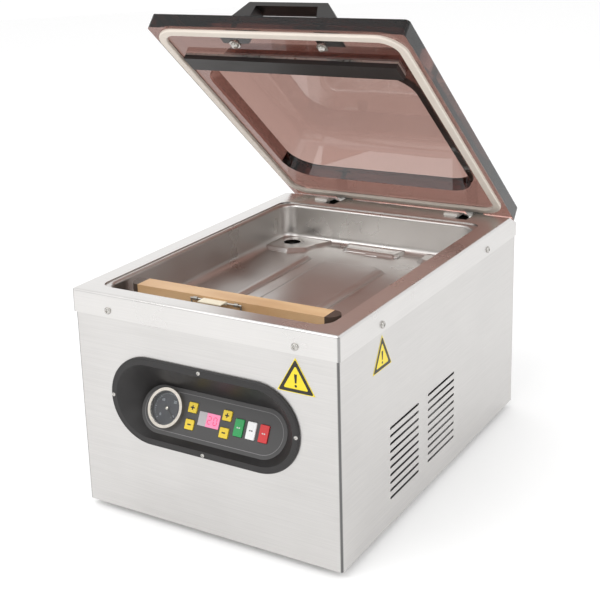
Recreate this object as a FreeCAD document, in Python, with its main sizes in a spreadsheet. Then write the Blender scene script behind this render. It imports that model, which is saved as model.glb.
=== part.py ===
"""Chamber vacuum packing machine, table-top size, as a parametric FreeCAD document.

The origin is at the middle of the footprint, on the surface the machine stands on.
+Z is up, -Y is the operator's side, +X is the operator's right. Millimetres and degrees.
The lid is drawn closed in its own frame, whose origin is on the hinge pin, and is placed
open by lid_open. The control panel's pieces are drawn flat in the panel's own frame.
"""

import FreeCAD, Part
import math
import os
import Sketcher
from FreeCAD import Placement, Rotation, Vector

doc = FreeCAD.newDocument("vacuum_packing_machine")
sheet = doc.addObject("Spreadsheet::Sheet", "dims")
X_AXIS, Y_AXIS, Z_AXIS = Vector(1, 0, 0), Vector(0, 1, 0), Vector(0, 0, 1)

# ---------------------------------------------------------------- driving dimensions
SIZES = {
    # casing and top cover
    "body_width": 330, "body_depth": 480, "deck_height": 263, "foot_height": 8,
    "skin": 1.2, "pan_sheet": 1.5, "deck_sheet": 1.5, "edge_radius": 3,
    "flange_height": 27, "flange_gap": 0.4, "casing_top_drop": 12,
    "bevel_run": 20, "bevel_drop": 10, "pan_flange": 16, "panel_return": 14, "sheet_gap": 0.2,
    # screws
    "screw_drop": 19, "front_screw_x": 116, "side_screw_front": 147, "side_screw_rear": 140,
    "screw_hole": 4.2, "screw_shank": 4, "screw_head": 8, "head_rise": 2.4, "screw_length": 9,
    "foot_inset_x": 32, "foot_inset_y": 36, "foot_radius": 13, "foot_taper": 2,
    # vents
    "vent_front_y": -127.5, "vent_front_length": 72.5, "vent_rear_y": -30.2,
    "vent_rear_length": 74.5, "vent_low": 38.5, "vent_pitch": 9.05, "vent_slot": 3,
    "vent_count": 10, "rear_vent_count": 8, "rear_vent_left": 19, "rear_vent_right": 124,
    # chamber
    "opening_half": 142, "opening_front": 220, "opening_rear": 178, "opening_radius": 14,
    "tub_inset": 4.5, "tub_depth": 50, "tub_sheet": 1.5, "tub_radius": 20, "tub_lip": 6,
    "tub_roll": 4.4, "tub_floor_radius": 10, "rib_height": 2.6, "rib_width": 13,
    "rib_round": 2.1, "rib_corner": 5.5,
    "rib_left_x": -64.5, "rib_left_rear": 104, "rib_right_x": 45.5, "rib_right_rear": 86,
    "rib_front": 156, "rib_back_y": 154, "rib_back_left": -36, "rib_back_right": 42,
    "port_x": -112, "port_y": 146, "port_bore": 18,
    # sealing bar
    "bar_length": 260, "bar_width": 23, "bar_drop": 6.5, "bar_height": 22, "bar_y": -172,
    "bar_cap": 12, "tape": 0.4, "tape_skirt": 15, "strip_width": 5, "strip_thick": 0.5,
    "rod_x": 90, "bore_rise": 3, "bore_drop": 2, "rod_dia": 8, "rod_gap": 0.1, "cylinder_dia": 30,
    "cylinder_height": 40,
    # bag clip
    "clip_wire": 2, "clip_left": -43, "clip_right": 22, "clip_drop": 2.5, "clip_stand": 4,
    "hook_length": 6.6,
    "clip_plate_left": -26, "clip_plate_right": 3, "clip_plate_width": 12,
    "clip_plate_thick": 1, "eyelet_length": 5, "pin_gap": 0.1,
    # lid
    "lid_open": 40, "pivot_drop": 75, "pivot_inset": 41, "lid_width": 320,
    "lid_front_inset": 4, "lid_rear_inset": 45, "lid_thick": 18, "lid_gap": 4,
    "lid_corner": 5, "dome_half": 133, "dome_rear": 75, "dome_front": 350,
    "dome_depth": 52, "dome_wall": 7, "dome_slope": 17, "dome_foot_slope": 5.1,
    "dome_corner": 38, "dome_round": 20,
    "gasket_half": 150, "gasket_rear": 28, "gasket_front": 424, "gasket_width": 10,
    "gasket_proud": 3.7, "gasket_groove": 3, "gasket_radius": 24, "gasket_gap": 0.1,
    "counter_half": 135, "counter_near": 355, "counter_width": 24, "counter_channel": 2.5,
    "counter_drop": 8,
    # handle
    "handle_far": 412, "handle_deep": 20, "handle_base": 77.5, "handle_top": 49.5,
    "handle_rise": 31.5, "handle_bar": 5.5, "handle_foot": 33,
    "handle_round": 1, "handle_inner": 39,
    "handle_bolt_x": 55, "bolt_dia": 6, "bolt_gap": 0.3,
    "washer_sheet": 1, "washer_radius": 6.6, "nut_dome": 4.5, "dome_sink": 1,
    "arm_head_radius": 5.1, "arm_head_height": 3.5,
    # hinge
    "arm_left_x": -79, "arm_right_x": 109, "arm_width": 12, "arm_deep": 14, "arm_eye": 9,
    "arm_flange": 3, "arm_flange_deep": 20, "arm_seat_gap": 0.1, "slot_width": 16, "slot_front": 50,
    "rear_notch_drop": 44, "shaft_dia": 10, "shaft_end": 130, "bracket_offset": 12,
    "bracket_sheet": 3, "bracket_front_gap": 8, "bracket_deep": 28, "bracket_foot": 10,
    "spring_radius": 9, "spring_left": -52, "spring_length": 36, "rest_pad_width": 18,
    "rest_pad_gap": 0.6, "rest_pad_inset": 1, "rest_pad_deep": 8, "rest_pad_height": 3.2,
    # controls
    "bezel_z": 147.5, "bezel_length": 237, "bezel_tall": 101, "bezel_proud": 3.2,
    "bezel_mouth_length": 222, "bezel_mouth_tall": 85, "bezel_wall": 1.8,
    "bezel_hole_gap": 0.3, "panel_z": 132, "panel_back": 17.5, "panel_tilt": 28,
    "panel_length": 184, "panel_rim": 4.5, "panel_sheet": 3, "panel_seat": 2,
    "bezel_screw_x": 115, "bezel_screw_z": 46.6, "bezel_screw_head": 4.6,
    "bezel_round": 1.9, "bezel_screw_reach": 2,
    "gauge_key_gap": 5, "gauge_v": 2.2, "gauge_dia": 44, "gauge_proud": 6, "gauge_depth": 22,
    "gauge_wall": 2.2, "stem_radius": 4.4, "stem_length": 11, "gauge_glass": 1.2,
    "dial_drop": 3.4, "dial_sheet": 0.6,
    "needle_width": 1.4, "needle_sheet": 0.5, "needle_long": 15, "needle_rest": 45,
    "needle_tail": 5, "needle_rise": 0.8, "hub_radius": 2.2, "glass_drop": 1,
    "small_key": 11, "tall_key_wide": 11, "tall_key": 18.5, "key_proud": 1.6, "key_gap": 0.35,
    "key_corner": 1, "key_round": 0.55, "key_skirt": 1.2,
    "key_skirt_sheet": 1.2, "key_skirt_gap": 0.05,
    "small_key_left": -26.4, "small_key_right": 17.7, "small_key_up": 9.2,
    "small_key_down": -9.2, "tall_key_x": 34.2, "tall_key_pitch": 15.4, "tall_key_v": -0.4,
    "display_left": -17, "display_width": 26.4, "display_tall": 15, "display_proud": 0.5,
    "board_length": 106, "board_tall": 46, "board_back": 9, "board_x": 25,
    "chip_side": 11, "chip_tall": 4.5, "chip_pitch": 30,
    # signs
    "sign_side": 43, "sign_sheet": 0.3, "sign_front_x": 115, "sign_z": 213,
    "sign_side_y": -145,
    # works inside
    "pump_width": 96, "pump_deep": 104, "pump_height": 104, "pump_foot": 16,
    "pump_foot_radius": 10.4, "port_wall": 2,
    "port_rise": 8, "pump_y": 96,
    "pump_split_x": -26, "motor_dia": 92, "motor_length": 104, "fan_dia": 78,
    "fan_thick": 10, "fan_hub_radius": 9.6, "fan_gap": 4, "fan_bore_gap": 0.1, "motor_shaft": 8,
    "filter_dia": 46, "filter_length": 90, "filter_y": -6, "link_half": 8, "core_width": 84,
    "core_deep": 50, "core_height": 70, "transformer_x": 92, "transformer_y": -112,
    "valve_side": 26, "valve_x": -60, "valve_y": -40, "hose_dia": 14,
    "hose_rise": 30, "hose_bend": 42,
    "coil_grow": 12, "coil_inset": 14, "valve_coil_radius": 10.4, "air_port_drop": 30,
    "air_hose_front": 32, "air_hose_rear": 34, "air_hose_dia": 6,
    # mains inlet and switch
    "inlet_x": -96, "inlet_z": 62, "inlet_wide": 48, "inlet_tall": 27, "inlet_deep": 22,
    "socket_wide": 24, "socket_tall": 16, "socket_deep": 17, "switch_x": -40,
    "switch_wide": 22, "switch_tall": 30, "switch_deep": 20, "rocker_gap": 0.4,
    "pin_pitch": 7, "pin_step": 2, "pin_thick": 2, "pin_tall": 4, "pin_sink": 4,
    "switch_rim": 2, "rocker_waist": 14.4,
    "rocker_tilt": 8, "rocker_depth": 4.5, "frame_rim": 1.8, "cut_gap": 0.3,
}


class Size:
    """A dimension that knows both its number and the sheet formula it comes from."""

    def __init__(self, number, formula):
        self.number = float(number)
        self.formula = formula

    def join(self, other, sign, work, swap=False):
        other = other if isinstance(other, Size) else Size(other, repr(other))
        first, second = (other, self) if swap else (self, other)
        return Size(work(first.number, second.number),
                    "(%s %s %s)" % (first.formula, sign, second.formula))

    def __add__(self, other):
        return self.join(other, "+", lambda p, q: p + q)

    def __radd__(self, other):
        return self.join(other, "+", lambda p, q: p + q, swap=True)

    def __sub__(self, other):
        return self.join(other, "-", lambda p, q: p - q)

    def __rsub__(self, other):
        return self.join(other, "-", lambda p, q: p - q, swap=True)

    def __mul__(self, other):
        return self.join(other, "*", lambda p, q: p * q)

    def __rmul__(self, other):
        return self.join(other, "*", lambda p, q: p * q, swap=True)

    def __truediv__(self, other):
        return self.join(other, "/", lambda p, q: p / q)

    def __neg__(self):
        return 0 - self


ZERO = Size(0, "0")


class Sizes:
    """Holds one Size for each row of the sheet, as an attribute of the same name."""


def fill_sheet():
    sizes = Sizes()
    for row, (name, number) in enumerate(SIZES.items(), start=1):
        sheet.set("A%d" % row, name)
        sheet.set("B%d" % row, str(number))
        sheet.setAlias("B%d" % row, name)
        setattr(sizes, name, Size(number, "dims." + name))
    doc.recompute()
    return sizes


d = fill_sheet()


def sine(angle):
    return Size(math.sin(math.radians(angle.number)), "sin(%s)" % angle.formula)


def cosine(angle):
    return Size(math.cos(math.radians(angle.number)), "cos(%s)" % angle.formula)


def root(size):
    return Size(math.sqrt(size.number), "sqrt(%s)" % size.formula)


def number(size):
    return size.number if isinstance(size, Size) else float(size)


# ---------------------------------------------------------------- modelling helpers
NODES = []


def bind(obj, prop, size):
    """Set a property to a number, or tie it to the sheet where the size has a formula."""
    if isinstance(size, Size):
        obj.setExpression(prop, size.formula)
    elif not prop.startswith("Placement") and not prop.startswith("AttachmentOffset"):
        setattr(obj, prop, size)


def place(obj, corner=(0, 0, 0), axis=Z_AXIS, turn=0, prop="Placement"):
    base = Vector(*[number(part) for part in corner])
    setattr(obj, prop, Placement(base, Rotation(axis, number(turn))))
    for letter, part in zip("xyz", corner):
        bind(obj, "%s.Base.%s" % (prop, letter), part)
    bind(obj, prop + ".Rotation.Angle", turn)
    return obj


def node(obj, name):
    """Give a finished sub-part its own name; the name is also its file's name."""
    obj.Label = name
    NODES.append(obj)
    return obj


def box(name, size, corner=(0, 0, 0)):
    made = doc.addObject("Part::Box", name)
    for prop, length in zip(("Length", "Width", "Height"), size):
        bind(made, prop, length)
    return place(made, corner)


def slab(name, span_x, span_y, span_z):
    """A box given by its lowest and highest x, y and z."""
    spans = (span_x, span_y, span_z)
    size = [high - low for low, high in spans]
    return box(name, size, [low for low, high in spans])


def rod(name, radius, length, start, along="z"):
    """A cylinder that starts at a point and runs along +x, +y or +z."""
    made = doc.addObject("Part::Cylinder", name)
    bind(made, "Radius", radius)
    bind(made, "Height", length)
    axis, turn = {"x": (Y_AXIS, 90), "y": (X_AXIS, -90), "z": (Z_AXIS, 0)}[along]
    return place(made, start, axis, turn)


def join(name, parts):
    made = doc.addObject("Part::MultiFuse", name)
    made.Shapes = parts
    made.Refine = True
    return made


def cut(name, base, tools):
    made = doc.addObject("Part::Cut", name)
    made.Base = base
    made.Tool = tools[0] if len(tools) == 1 else join(name + "_cutters", tools)
    made.Refine = True
    return made


def group(name, parts):
    made = doc.addObject("Part::Compound", name)
    made.Links = parts
    return made


def new_body(name):
    body = doc.addObject("PartDesign::Body", name)
    return body


def new_sketch(body, name, plane, offset=0, lift=(0, 0), axis=X_AXIS, turn=0):
    """A sketch on one of the body's own planes, moved along the plane's normal."""
    made = body.newObject("Sketcher::SketchObject", name)
    face = [item for item in body.Origin.OriginFeatures if item.Role == plane][0]
    made.AttachmentSupport = [(face, "")]
    made.MapMode = "FlatFace"
    place(made, (lift[0], lift[1], offset), axis, turn, "AttachmentOffset")
    return made


def fix_point(sketch, edge, end, point):
    for kind, part in zip(("DistanceX", "DistanceY"), point):
        rule = sketch.addConstraint(Sketcher.Constraint(kind, -1, 1, edge, end, number(part)))
        if isinstance(part, Size):
            sketch.setExpression("Constraints[%d]" % rule, part.formula)


def draw_outline(sketch, points):
    """A closed outline of straight edges through the points."""
    first = sketch.GeometryCount
    count = len(points)
    flat = [Vector(number(p[0]), number(p[1]), 0) for p in points]
    for i in range(count):
        sketch.addGeometry(Part.LineSegment(flat[i], flat[(i + 1) % count]), False)
    for i in range(count):
        sketch.addConstraint(Sketcher.Constraint(
            "Coincident", first + i, 2, first + (i + 1) % count, 1))
        fix_point(sketch, first + i, 1, points[i])


def draw_rounded(sketch, left, low, right, high, radius):
    """A rectangle with four rounded corners, each side fixed from the origin."""
    first = sketch.GeometryCount
    sides = [((left + radius, low), (right - radius, low)),
             ((right, low + radius), (right, high - radius)),
             ((right - radius, high), (left + radius, high)),
             ((left, high - radius), (left, low + radius))]
    centres = [(right - radius, low + radius), (right - radius, high - radius),
               (left + radius, high - radius), (left + radius, low + radius)]
    for i, (start, end) in enumerate(sides):
        sketch.addGeometry(Part.LineSegment(Vector(number(start[0]), number(start[1]), 0),
                                            Vector(number(end[0]), number(end[1]), 0)), False)
        fix_point(sketch, first + i, 1, start)
        fix_point(sketch, first + i, 2, end)
    for i, centre in enumerate(centres):
        middle = Vector(number(centre[0]), number(centre[1]), 0)
        circle = Part.Circle(middle, Z_AXIS, number(radius))
        start = math.radians(-90 + 90 * i)
        sketch.addGeometry(Part.ArcOfCircle(circle, start, start + math.pi / 2), False)
        arc = first + 4 + i
        sketch.addConstraint(Sketcher.Constraint("Coincident", first + i, 2, arc, 1))
        sketch.addConstraint(Sketcher.Constraint("Coincident", arc, 2, first + (i + 1) % 4, 1))
        rule = sketch.addConstraint(Sketcher.Constraint(
            "DistanceX", -1, 1, arc, 3, number(centre[0])))
        if isinstance(centre[0], Size):
            sketch.setExpression("Constraints[%d]" % rule, centre[0].formula)


def draw_pill(sketch, x, y, length, tall):
    """A stadium lying along the sketch's x."""
    first = sketch.GeometryCount
    half, radius = (length - tall) / 2, tall / 2
    rows = [((x - half, y - radius), (x + half, y - radius)),
            ((x + half, y + radius), (x - half, y + radius))]
    for i, (start, end) in enumerate(rows):
        sketch.addGeometry(Part.LineSegment(Vector(number(start[0]), number(start[1]), 0),
                                            Vector(number(end[0]), number(end[1]), 0)), False)
        fix_point(sketch, first + i, 1, start)
        fix_point(sketch, first + i, 2, end)
    for i, side in enumerate((1, -1)):
        centre = x + side * half
        circle = Part.Circle(Vector(number(centre), number(y), 0), Z_AXIS, number(radius))
        start = math.radians(-90 + 180 * i)
        sketch.addGeometry(Part.ArcOfCircle(circle, start, start + math.pi), False)
        arc = first + 2 + i
        sketch.addConstraint(Sketcher.Constraint("Coincident", first + i, 2, arc, 1))
        sketch.addConstraint(Sketcher.Constraint("Coincident", arc, 2, first + (i + 1) % 2, 1))
        rule = sketch.addConstraint(Sketcher.Constraint("DistanceX", -1, 1, arc, 3, number(centre)))
        sketch.setExpression("Constraints[%d]" % rule, centre.formula)


def draw_circle(sketch, x, y, radius):
    edge = sketch.addGeometry(Part.Circle(Vector(number(x), number(y), 0), Z_AXIS,
                                          number(radius)), False)
    fix_point(sketch, edge, 3, (x, y))
    rule = sketch.addConstraint(Sketcher.Constraint("Radius", edge, number(radius)))
    if isinstance(radius, Size):
        sketch.setExpression("Constraints[%d]" % rule, radius.formula)


def pad(body, sketch, length, both=False):
    """Grow the sketch along its normal, or by half the length each way."""
    made = body.newObject("PartDesign::Pad", sketch.Name + "_pad")
    made.Profile = sketch
    bind(made, "Length", length)
    made.Midplane = both
    doc.recompute()
    return made


def pocket(body, sketch, length, both=False):
    """Cut the sketch along its normal, and make sure that it removed something."""
    before = body.Shape.Volume
    made = body.newObject("PartDesign::Pocket", sketch.Name + "_pocket")
    made.Profile = sketch
    bind(made, "Length", length)
    made.Midplane = both
    made.Reversed = not both
    doc.recompute()
    if made.Shape.isNull() or made.Shape.Volume > before - 1e-6:
        raise ValueError(sketch.Name + " cuts nothing")
    return made


def round_edges(body, radius, chosen, name):
    """Fillet the edges of the body's newest feature that chosen(edge) picks."""
    base = body.Tip
    edges = ["Edge%d" % (i + 1) for i, edge in enumerate(base.Shape.Edges) if chosen(edge)]
    made = body.newObject("PartDesign::Fillet", name)
    made.Base = (base, edges)
    bind(made, "Radius", radius)
    doc.recompute()
    if made.Shape.isNull() or not made.Shape.isValid():
        raise ValueError(name + " did not round")
    return made


def near(value, size, slack=0.01):
    return abs(value - number(size)) < slack


def upright(edge):
    ends = [vertex.Point for vertex in edge.Vertexes]
    if len(ends) != 2:
        return False
    return (ends[0] - ends[1]).cross(Z_AXIS).Length < 0.01


def level(edge, height):
    box_of = edge.BoundBox
    return near(box_of.ZMin, height) and near(box_of.ZMax, height)


def within(edge, half, slack=0.05):
    """Whether an edge lies no further out to either side than half."""
    reach = number(half) + slack
    return edge.BoundBox.XMax < reach and edge.BoundBox.XMin > -reach


# ---------------------------------------------------------------- places worked out
half_width = d.body_width / 2
half_depth = d.body_depth / 2
deck_under = d.deck_height - d.deck_sheet
casing_half = half_width - d.deck_sheet - d.flange_gap
casing_back = half_depth - d.deck_sheet - d.flange_gap
casing_top = d.deck_height - d.casing_top_drop
screw_z = d.deck_height - d.screw_drop
pan_top = d.foot_height + d.pan_sheet
tub_under = deck_under - d.tub_depth - d.tub_sheet + d.deck_sheet
bar_top = d.deck_height - d.bar_drop
pivot_y = half_depth - d.pivot_inset
pivot_z = d.deck_height - d.pivot_drop
lid_under = d.pivot_drop + d.lid_gap
lid_top = lid_under + d.lid_thick
lid_back = d.pivot_inset - d.lid_rear_inset
lid_front = d.pivot_inset - d.body_depth + d.lid_front_inset
arm_centres = (d.arm_left_x, d.arm_right_x)


def along_lid(distance):
    """The lid-frame y of a point this far in front of the lid's rear edge."""
    return lid_back - distance


def open_lid(obj):
    return place(obj, (0, pivot_y, pivot_z), X_AXIS, -d.lid_open)


# ---------------------------------------------------------------- casing
def make_base_pan():
    body = new_body("pan_body")
    side = casing_half - d.skin - d.sheet_gap
    back = casing_back - d.skin - d.sheet_gap
    outer = new_sketch(body, "pan_outer", "XY_Plane", d.foot_height)
    draw_outline(outer, [(-side, -back), (side, -back), (side, back), (-side, back)])
    pad(body, outer, d.pan_flange)
    round_edges(body, d.edge_radius, upright, "pan_corners")
    inner = new_sketch(body, "pan_inner", "XY_Plane", pan_top)
    side, back = side - d.pan_sheet, back - d.pan_sheet
    draw_outline(inner, [(-side, -back), (side, -back), (side, back), (-side, back)])
    pocket(body, inner, d.pan_flange)
    holes = new_sketch(body, "pan_holes", "XY_Plane", d.foot_height)
    for x, y in foot_places():
        draw_circle(holes, x, y, d.screw_hole / 2)
    pocket(body, holes, d.pan_sheet)
    tapped = new_sketch(body, "pan_rear_holes", "XZ_Plane", -casing_back)
    for x, z in rear_screw_places()[:2]:
        draw_circle(tapped, x, z, d.screw_hole / 2)
    pocket(body, tapped, 3 * d.pan_sheet)
    node(body, "base_pan")


def foot_places():
    x, y = half_width - d.foot_inset_x, half_depth - d.foot_inset_y
    return [(-x, -y), (x, -y), (x, y), (-x, y)]


def make_feet():
    feet, screws = [], []
    for i, (x, y) in enumerate(foot_places()):
        cone = doc.addObject("Part::Cone", "foot_cone_%d" % i)
        bind(cone, "Radius1", d.foot_radius - d.foot_taper)
        bind(cone, "Radius2", d.foot_radius)
        bind(cone, "Height", d.foot_height)
        place(cone, (x, y, 0))
        hole = rod("foot_hole_%d" % i, d.screw_hole / 2, d.foot_height, (x, y, 0))
        recess = rod("foot_recess_%d" % i, d.screw_head / 2 + d.cut_gap, d.foot_height / 2, (x, y, 0))
        feet.append(cut("foot_%d" % i, cone, [hole, recess]))
        head = rod("foot_screw_head_%d" % i, d.screw_head / 2, d.head_rise,
                   (x, y, d.foot_height / 2 - d.head_rise))
        shank = rod("foot_screw_shank_%d" % i, d.screw_shank / 2,
                    d.foot_height / 2 + d.pan_sheet + d.screw_shank, (x, y, d.foot_height / 2))
        screws.append(join("foot_screw_%d" % i, [head, shank]))
    node(group("feet", feet), "rubber_feet")
    node(group("feet_screws", screws), "foot_screws")


def make_casing_wrap():
    body = new_body("wrap_body")
    tall = casing_top - d.foot_height
    inner_x, inner_y = casing_half - d.skin, casing_back - d.skin
    end = casing_back - d.skin - d.sheet_gap
    profile = new_sketch(body, "wrap_profile", "XY_Plane", d.foot_height)
    draw_outline(profile, [
        (-casing_half, end), (-casing_half, -casing_back), (casing_half, -casing_back),
        (casing_half, end), (inner_x, end), (inner_x, -inner_y), (-inner_x, -inner_y),
        (-inner_x, end)])
    pad(body, profile, tall)

    def corner(edge):
        point = edge.Vertexes[0].Point
        return upright(edge) and near(abs(point.x), casing_half) and near(point.y, -casing_back)

    def inner_corner(edge):
        point = edge.Vertexes[0].Point
        return upright(edge) and near(abs(point.x), inner_x) and near(point.y, -inner_y)
    round_edges(body, d.edge_radius - d.skin, inner_corner, "wrap_inner_bend")
    round_edges(body, d.edge_radius, corner, "wrap_outer_bend")
    mouth = new_sketch(body, "wrap_mouth", "XZ_Plane", casing_back - d.skin * 2)
    draw_pill(mouth, ZERO, d.bezel_z, recess_length() + 2 * d.bezel_hole_gap,
              recess_tall() + 2 * d.bezel_hole_gap)
    for side in (-1, 1):
        draw_circle(mouth, side * d.front_screw_x, screw_z, d.screw_hole / 2)
        draw_circle(mouth, side * d.bezel_screw_x, d.bezel_z, d.bezel_screw_head / 4)
        draw_circle(mouth, ZERO, d.bezel_z + side * d.bezel_screw_z,
                    d.bezel_screw_head / 4)
    pocket(body, mouth, d.skin * 3)
    sides = new_sketch(body, "wrap_side_holes", "YZ_Plane")
    draw_circle(sides, -d.side_screw_front, screw_z, d.screw_hole / 2)
    draw_circle(sides, d.side_screw_rear, screw_z, d.screw_hole / 2)
    pocket(body, sides, d.body_width, both=True)
    vents = new_sketch(body, "wrap_vents", "YZ_Plane")
    for start, length in ((d.vent_front_y, d.vent_front_length), (d.vent_rear_y, d.vent_rear_length)):
        draw_pill(vents, start + length / 2, d.vent_low, length, d.vent_slot)
    first_row = pocket(body, vents, d.body_width, both=True)
    rows = body.newObject("PartDesign::LinearPattern", "vent_rows")
    rows.Originals = [first_row]
    rows.Direction = (vents, ["V_Axis"])
    bind(rows, "Length", d.vent_pitch * (d.vent_count - 1))
    bind(rows, "Occurrences", d.vent_count)
    before = body.Shape.Volume
    body.Tip = rows
    doc.recompute()
    if body.Shape.Volume > before - 1:
        raise ValueError("the vent rows cut nothing")
    node(body, "casing_wrap")


def make_rear_panel():
    low, high = d.foot_height, casing_top
    plate = slab("rear_plate", (-casing_half, casing_half), (casing_back - d.skin, casing_back),
                 (low, high))
    returns, cutters = [], []
    lip = casing_half - d.skin - d.sheet_gap
    lip_low = low + d.pan_flange + d.sheet_gap
    for side in (-1, 1):
        inner = side * lip
        left = inner if side < 0 else inner - d.skin
        returns.append(slab("rear_return_%d" % (side + 1), (left, left + d.skin),
                            (casing_back - d.panel_return, casing_back - d.skin),
                            (lip_low, high)))
    for i, x in enumerate(arm_centres):
        cutters.append(slab("rear_notch_%d" % i, (x - d.slot_width / 2, x + d.slot_width / 2),
                            (casing_back - 2 * d.skin, casing_back + d.skin),
                            (d.deck_height - d.rear_notch_drop, high + d.skin)))
    cutters.append(slab("inlet_hole", (d.inlet_x - socket_half_wide(), d.inlet_x + socket_half_wide()),
                        (casing_back - 2 * d.skin, casing_back + d.skin),
                        (d.inlet_z - socket_half_tall(), d.inlet_z + socket_half_tall())))
    half_wide = d.switch_wide / 2 + d.cut_gap
    half_tall = d.switch_tall / 2 + d.cut_gap
    cutters.append(slab("switch_hole", (d.switch_x - half_wide, d.switch_x + half_wide),
                        (casing_back - 2 * d.skin, casing_back + d.skin),
                        (d.inlet_z - half_tall, d.inlet_z + half_tall)))
    for row in range(int(number(d.rear_vent_count))):
        z = d.vent_low + d.vent_pitch * row
        cutters.append(slab("rear_vent_%d" % row, (d.rear_vent_left, d.rear_vent_right),
                            (casing_back - 2 * d.skin, casing_back + d.skin),
                            (z, z + d.vent_slot)))
    for i, (x, z) in enumerate(rear_screw_places()):
        cutters.append(rod("rear_screw_hole_%d" % i, d.screw_hole / 2, d.skin * 3,
                           (x, casing_back - 2 * d.skin, z), "y"))
    node(cut("rear_sheet", join("rear_sheets", [plate] + returns), cutters), "rear_panel")


def socket_half_wide():
    return d.socket_wide / 2 + d.frame_rim + d.cut_gap


def socket_half_tall():
    return d.socket_tall / 2 + d.frame_rim + d.cut_gap


def rear_screw_places():
    edge_x = casing_half - d.screw_head
    heights = (d.foot_height + d.pan_flange / 2, d.deck_height / 2)
    return [(side * edge_x, z) for z in heights for side in (-1, 1)]


def make_rear_screws():
    screws = []
    for i, (x, z) in enumerate(rear_screw_places()):
        head = rod("rear_head_%d" % i, d.screw_head / 2, d.head_rise, (x, casing_back, z), "y")
        shank = rod("rear_shank_%d" % i, d.screw_shank / 2, d.screw_shank,
                    (x, casing_back - d.screw_shank, z), "y")
        screws.append(join("rear_screw_%d" % i, [head, shank]))
    node(group("rear_screw_set", screws), "rear_screws")


def make_deck():
    body = new_body("deck_body")
    low = d.deck_height - d.flange_height
    profile = new_sketch(body, "deck_profile", "YZ_Plane")
    draw_outline(profile, [
        (-half_depth, low), (-half_depth, d.deck_height),
        (half_depth - d.bevel_run, d.deck_height),
        (half_depth, d.deck_height - d.bevel_drop), (half_depth, low)])
    pad(body, profile, d.body_width, both=True)

    def outer_bend(edge):
        return edge.BoundBox.ZMax > number(low) + 0.01 and not (
            near(edge.BoundBox.YMin, half_depth) and level(edge, d.deck_height - d.bevel_drop)
            or near(edge.BoundBox.YMin, half_depth - d.bevel_run) and level(edge, d.deck_height)
            and near(edge.BoundBox.YMax, half_depth - d.bevel_run))
    round_edges(body, d.edge_radius, outer_bend, "deck_bends")
    slope = d.bevel_drop / d.bevel_run
    stretch = root(1 + slope * slope)
    inner_back = half_depth - d.deck_sheet
    bevel_start = half_depth - d.bevel_run - d.deck_sheet * (stretch - 1) / slope
    bevel_end = d.deck_height - d.deck_sheet * stretch - (d.bevel_run - d.deck_sheet) * slope
    hollow = new_sketch(body, "deck_hollow", "YZ_Plane")
    draw_outline(hollow, [
        (-inner_back, low - d.skin), (-inner_back, deck_under), (bevel_start, deck_under),
        (inner_back, bevel_end), (inner_back, low - d.skin)])
    pocket(body, hollow, d.body_width - 2 * d.deck_sheet, both=True)
    mouth = new_sketch(body, "deck_mouth", "XY_Plane", deck_under - d.skin)
    draw_rounded(mouth, -d.opening_half, -d.opening_front, d.opening_half, d.opening_rear,
                 d.opening_radius)
    pocket(body, mouth, d.deck_sheet * 3)
    slots = new_sketch(body, "deck_slots", "XY_Plane", low - d.skin)
    for x in arm_centres:
        left, right = x - d.slot_width / 2, x + d.slot_width / 2
        draw_outline(slots, [(left, half_depth - d.slot_front), (right, half_depth - d.slot_front),
                             (right, half_depth + d.skin), (left, half_depth + d.skin)])
    pocket(body, slots, d.flange_height + 2 * d.skin)
    front = new_sketch(body, "deck_front_holes", "XZ_Plane", half_depth - 2 * d.deck_sheet)
    for side in (-1, 1):
        draw_circle(front, side * d.front_screw_x, screw_z, d.screw_hole / 2)
    pocket(body, front, 3 * d.deck_sheet)
    sides = new_sketch(body, "deck_side_holes", "YZ_Plane")
    draw_circle(sides, -d.side_screw_front, screw_z, d.screw_hole / 2)
    draw_circle(sides, d.side_screw_rear, screw_z, d.screw_hole / 2)
    pocket(body, sides, d.body_width + d.skin, both=True)
    node(body, "deck_cover")


def make_cover_screws():
    screws = []
    sink = d.screw_length
    for i, side in enumerate((-1, 1)):
        x = side * d.front_screw_x
        head = rod("front_head_%d" % i, d.screw_head / 2, d.head_rise,
                   (x, -half_depth - d.head_rise, screw_z), "y")
        shank = rod("front_shank_%d" % i, d.screw_shank / 2, sink, (x, -half_depth, screw_z), "y")
        screws.append(join("front_screw_%d" % i, [head, shank]))
        for k, y in enumerate((-d.side_screw_front, d.side_screw_rear)):
            out = half_width if side > 0 else -half_width - d.head_rise
            inward = half_width - sink if side > 0 else -half_width
            head = rod("side_head_%d_%d" % (i, k), d.screw_head / 2, d.head_rise,
                       (out, y, screw_z), "x")
            shank = rod("side_shank_%d_%d" % (i, k), d.screw_shank / 2, sink,
                        (inward, y, screw_z), "x")
            screws.append(join("side_screw_%d_%d" % (i, k), [head, shank]))
    node(group("cover_screw_set", screws), "cover_screws")


def make_signs():
    """Two plain triangular plates, one on the front and one on the right side."""
    tall = d.sign_side * root(Size(3, "3")) / 2
    low = d.sign_z - tall / 2
    body = new_body("front_sign_body")
    front = new_sketch(body, "front_sign_edge", "XZ_Plane", casing_back)
    draw_outline(front, [(d.sign_front_x - d.sign_side / 2, low),
                         (d.sign_front_x + d.sign_side / 2, low), (d.sign_front_x, low + tall)])
    pad(body, front, d.sign_sheet)
    other = new_body("side_sign_body")
    side = new_sketch(other, "side_sign_edge", "YZ_Plane", casing_half)
    draw_outline(side, [(d.sign_side_y - d.sign_side / 2, low),
                        (d.sign_side_y + d.sign_side / 2, low), (d.sign_side_y, low + tall)])
    pad(other, side, d.sign_sheet)
    node(group("signs", [body, other]), "caution_plates")


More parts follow.
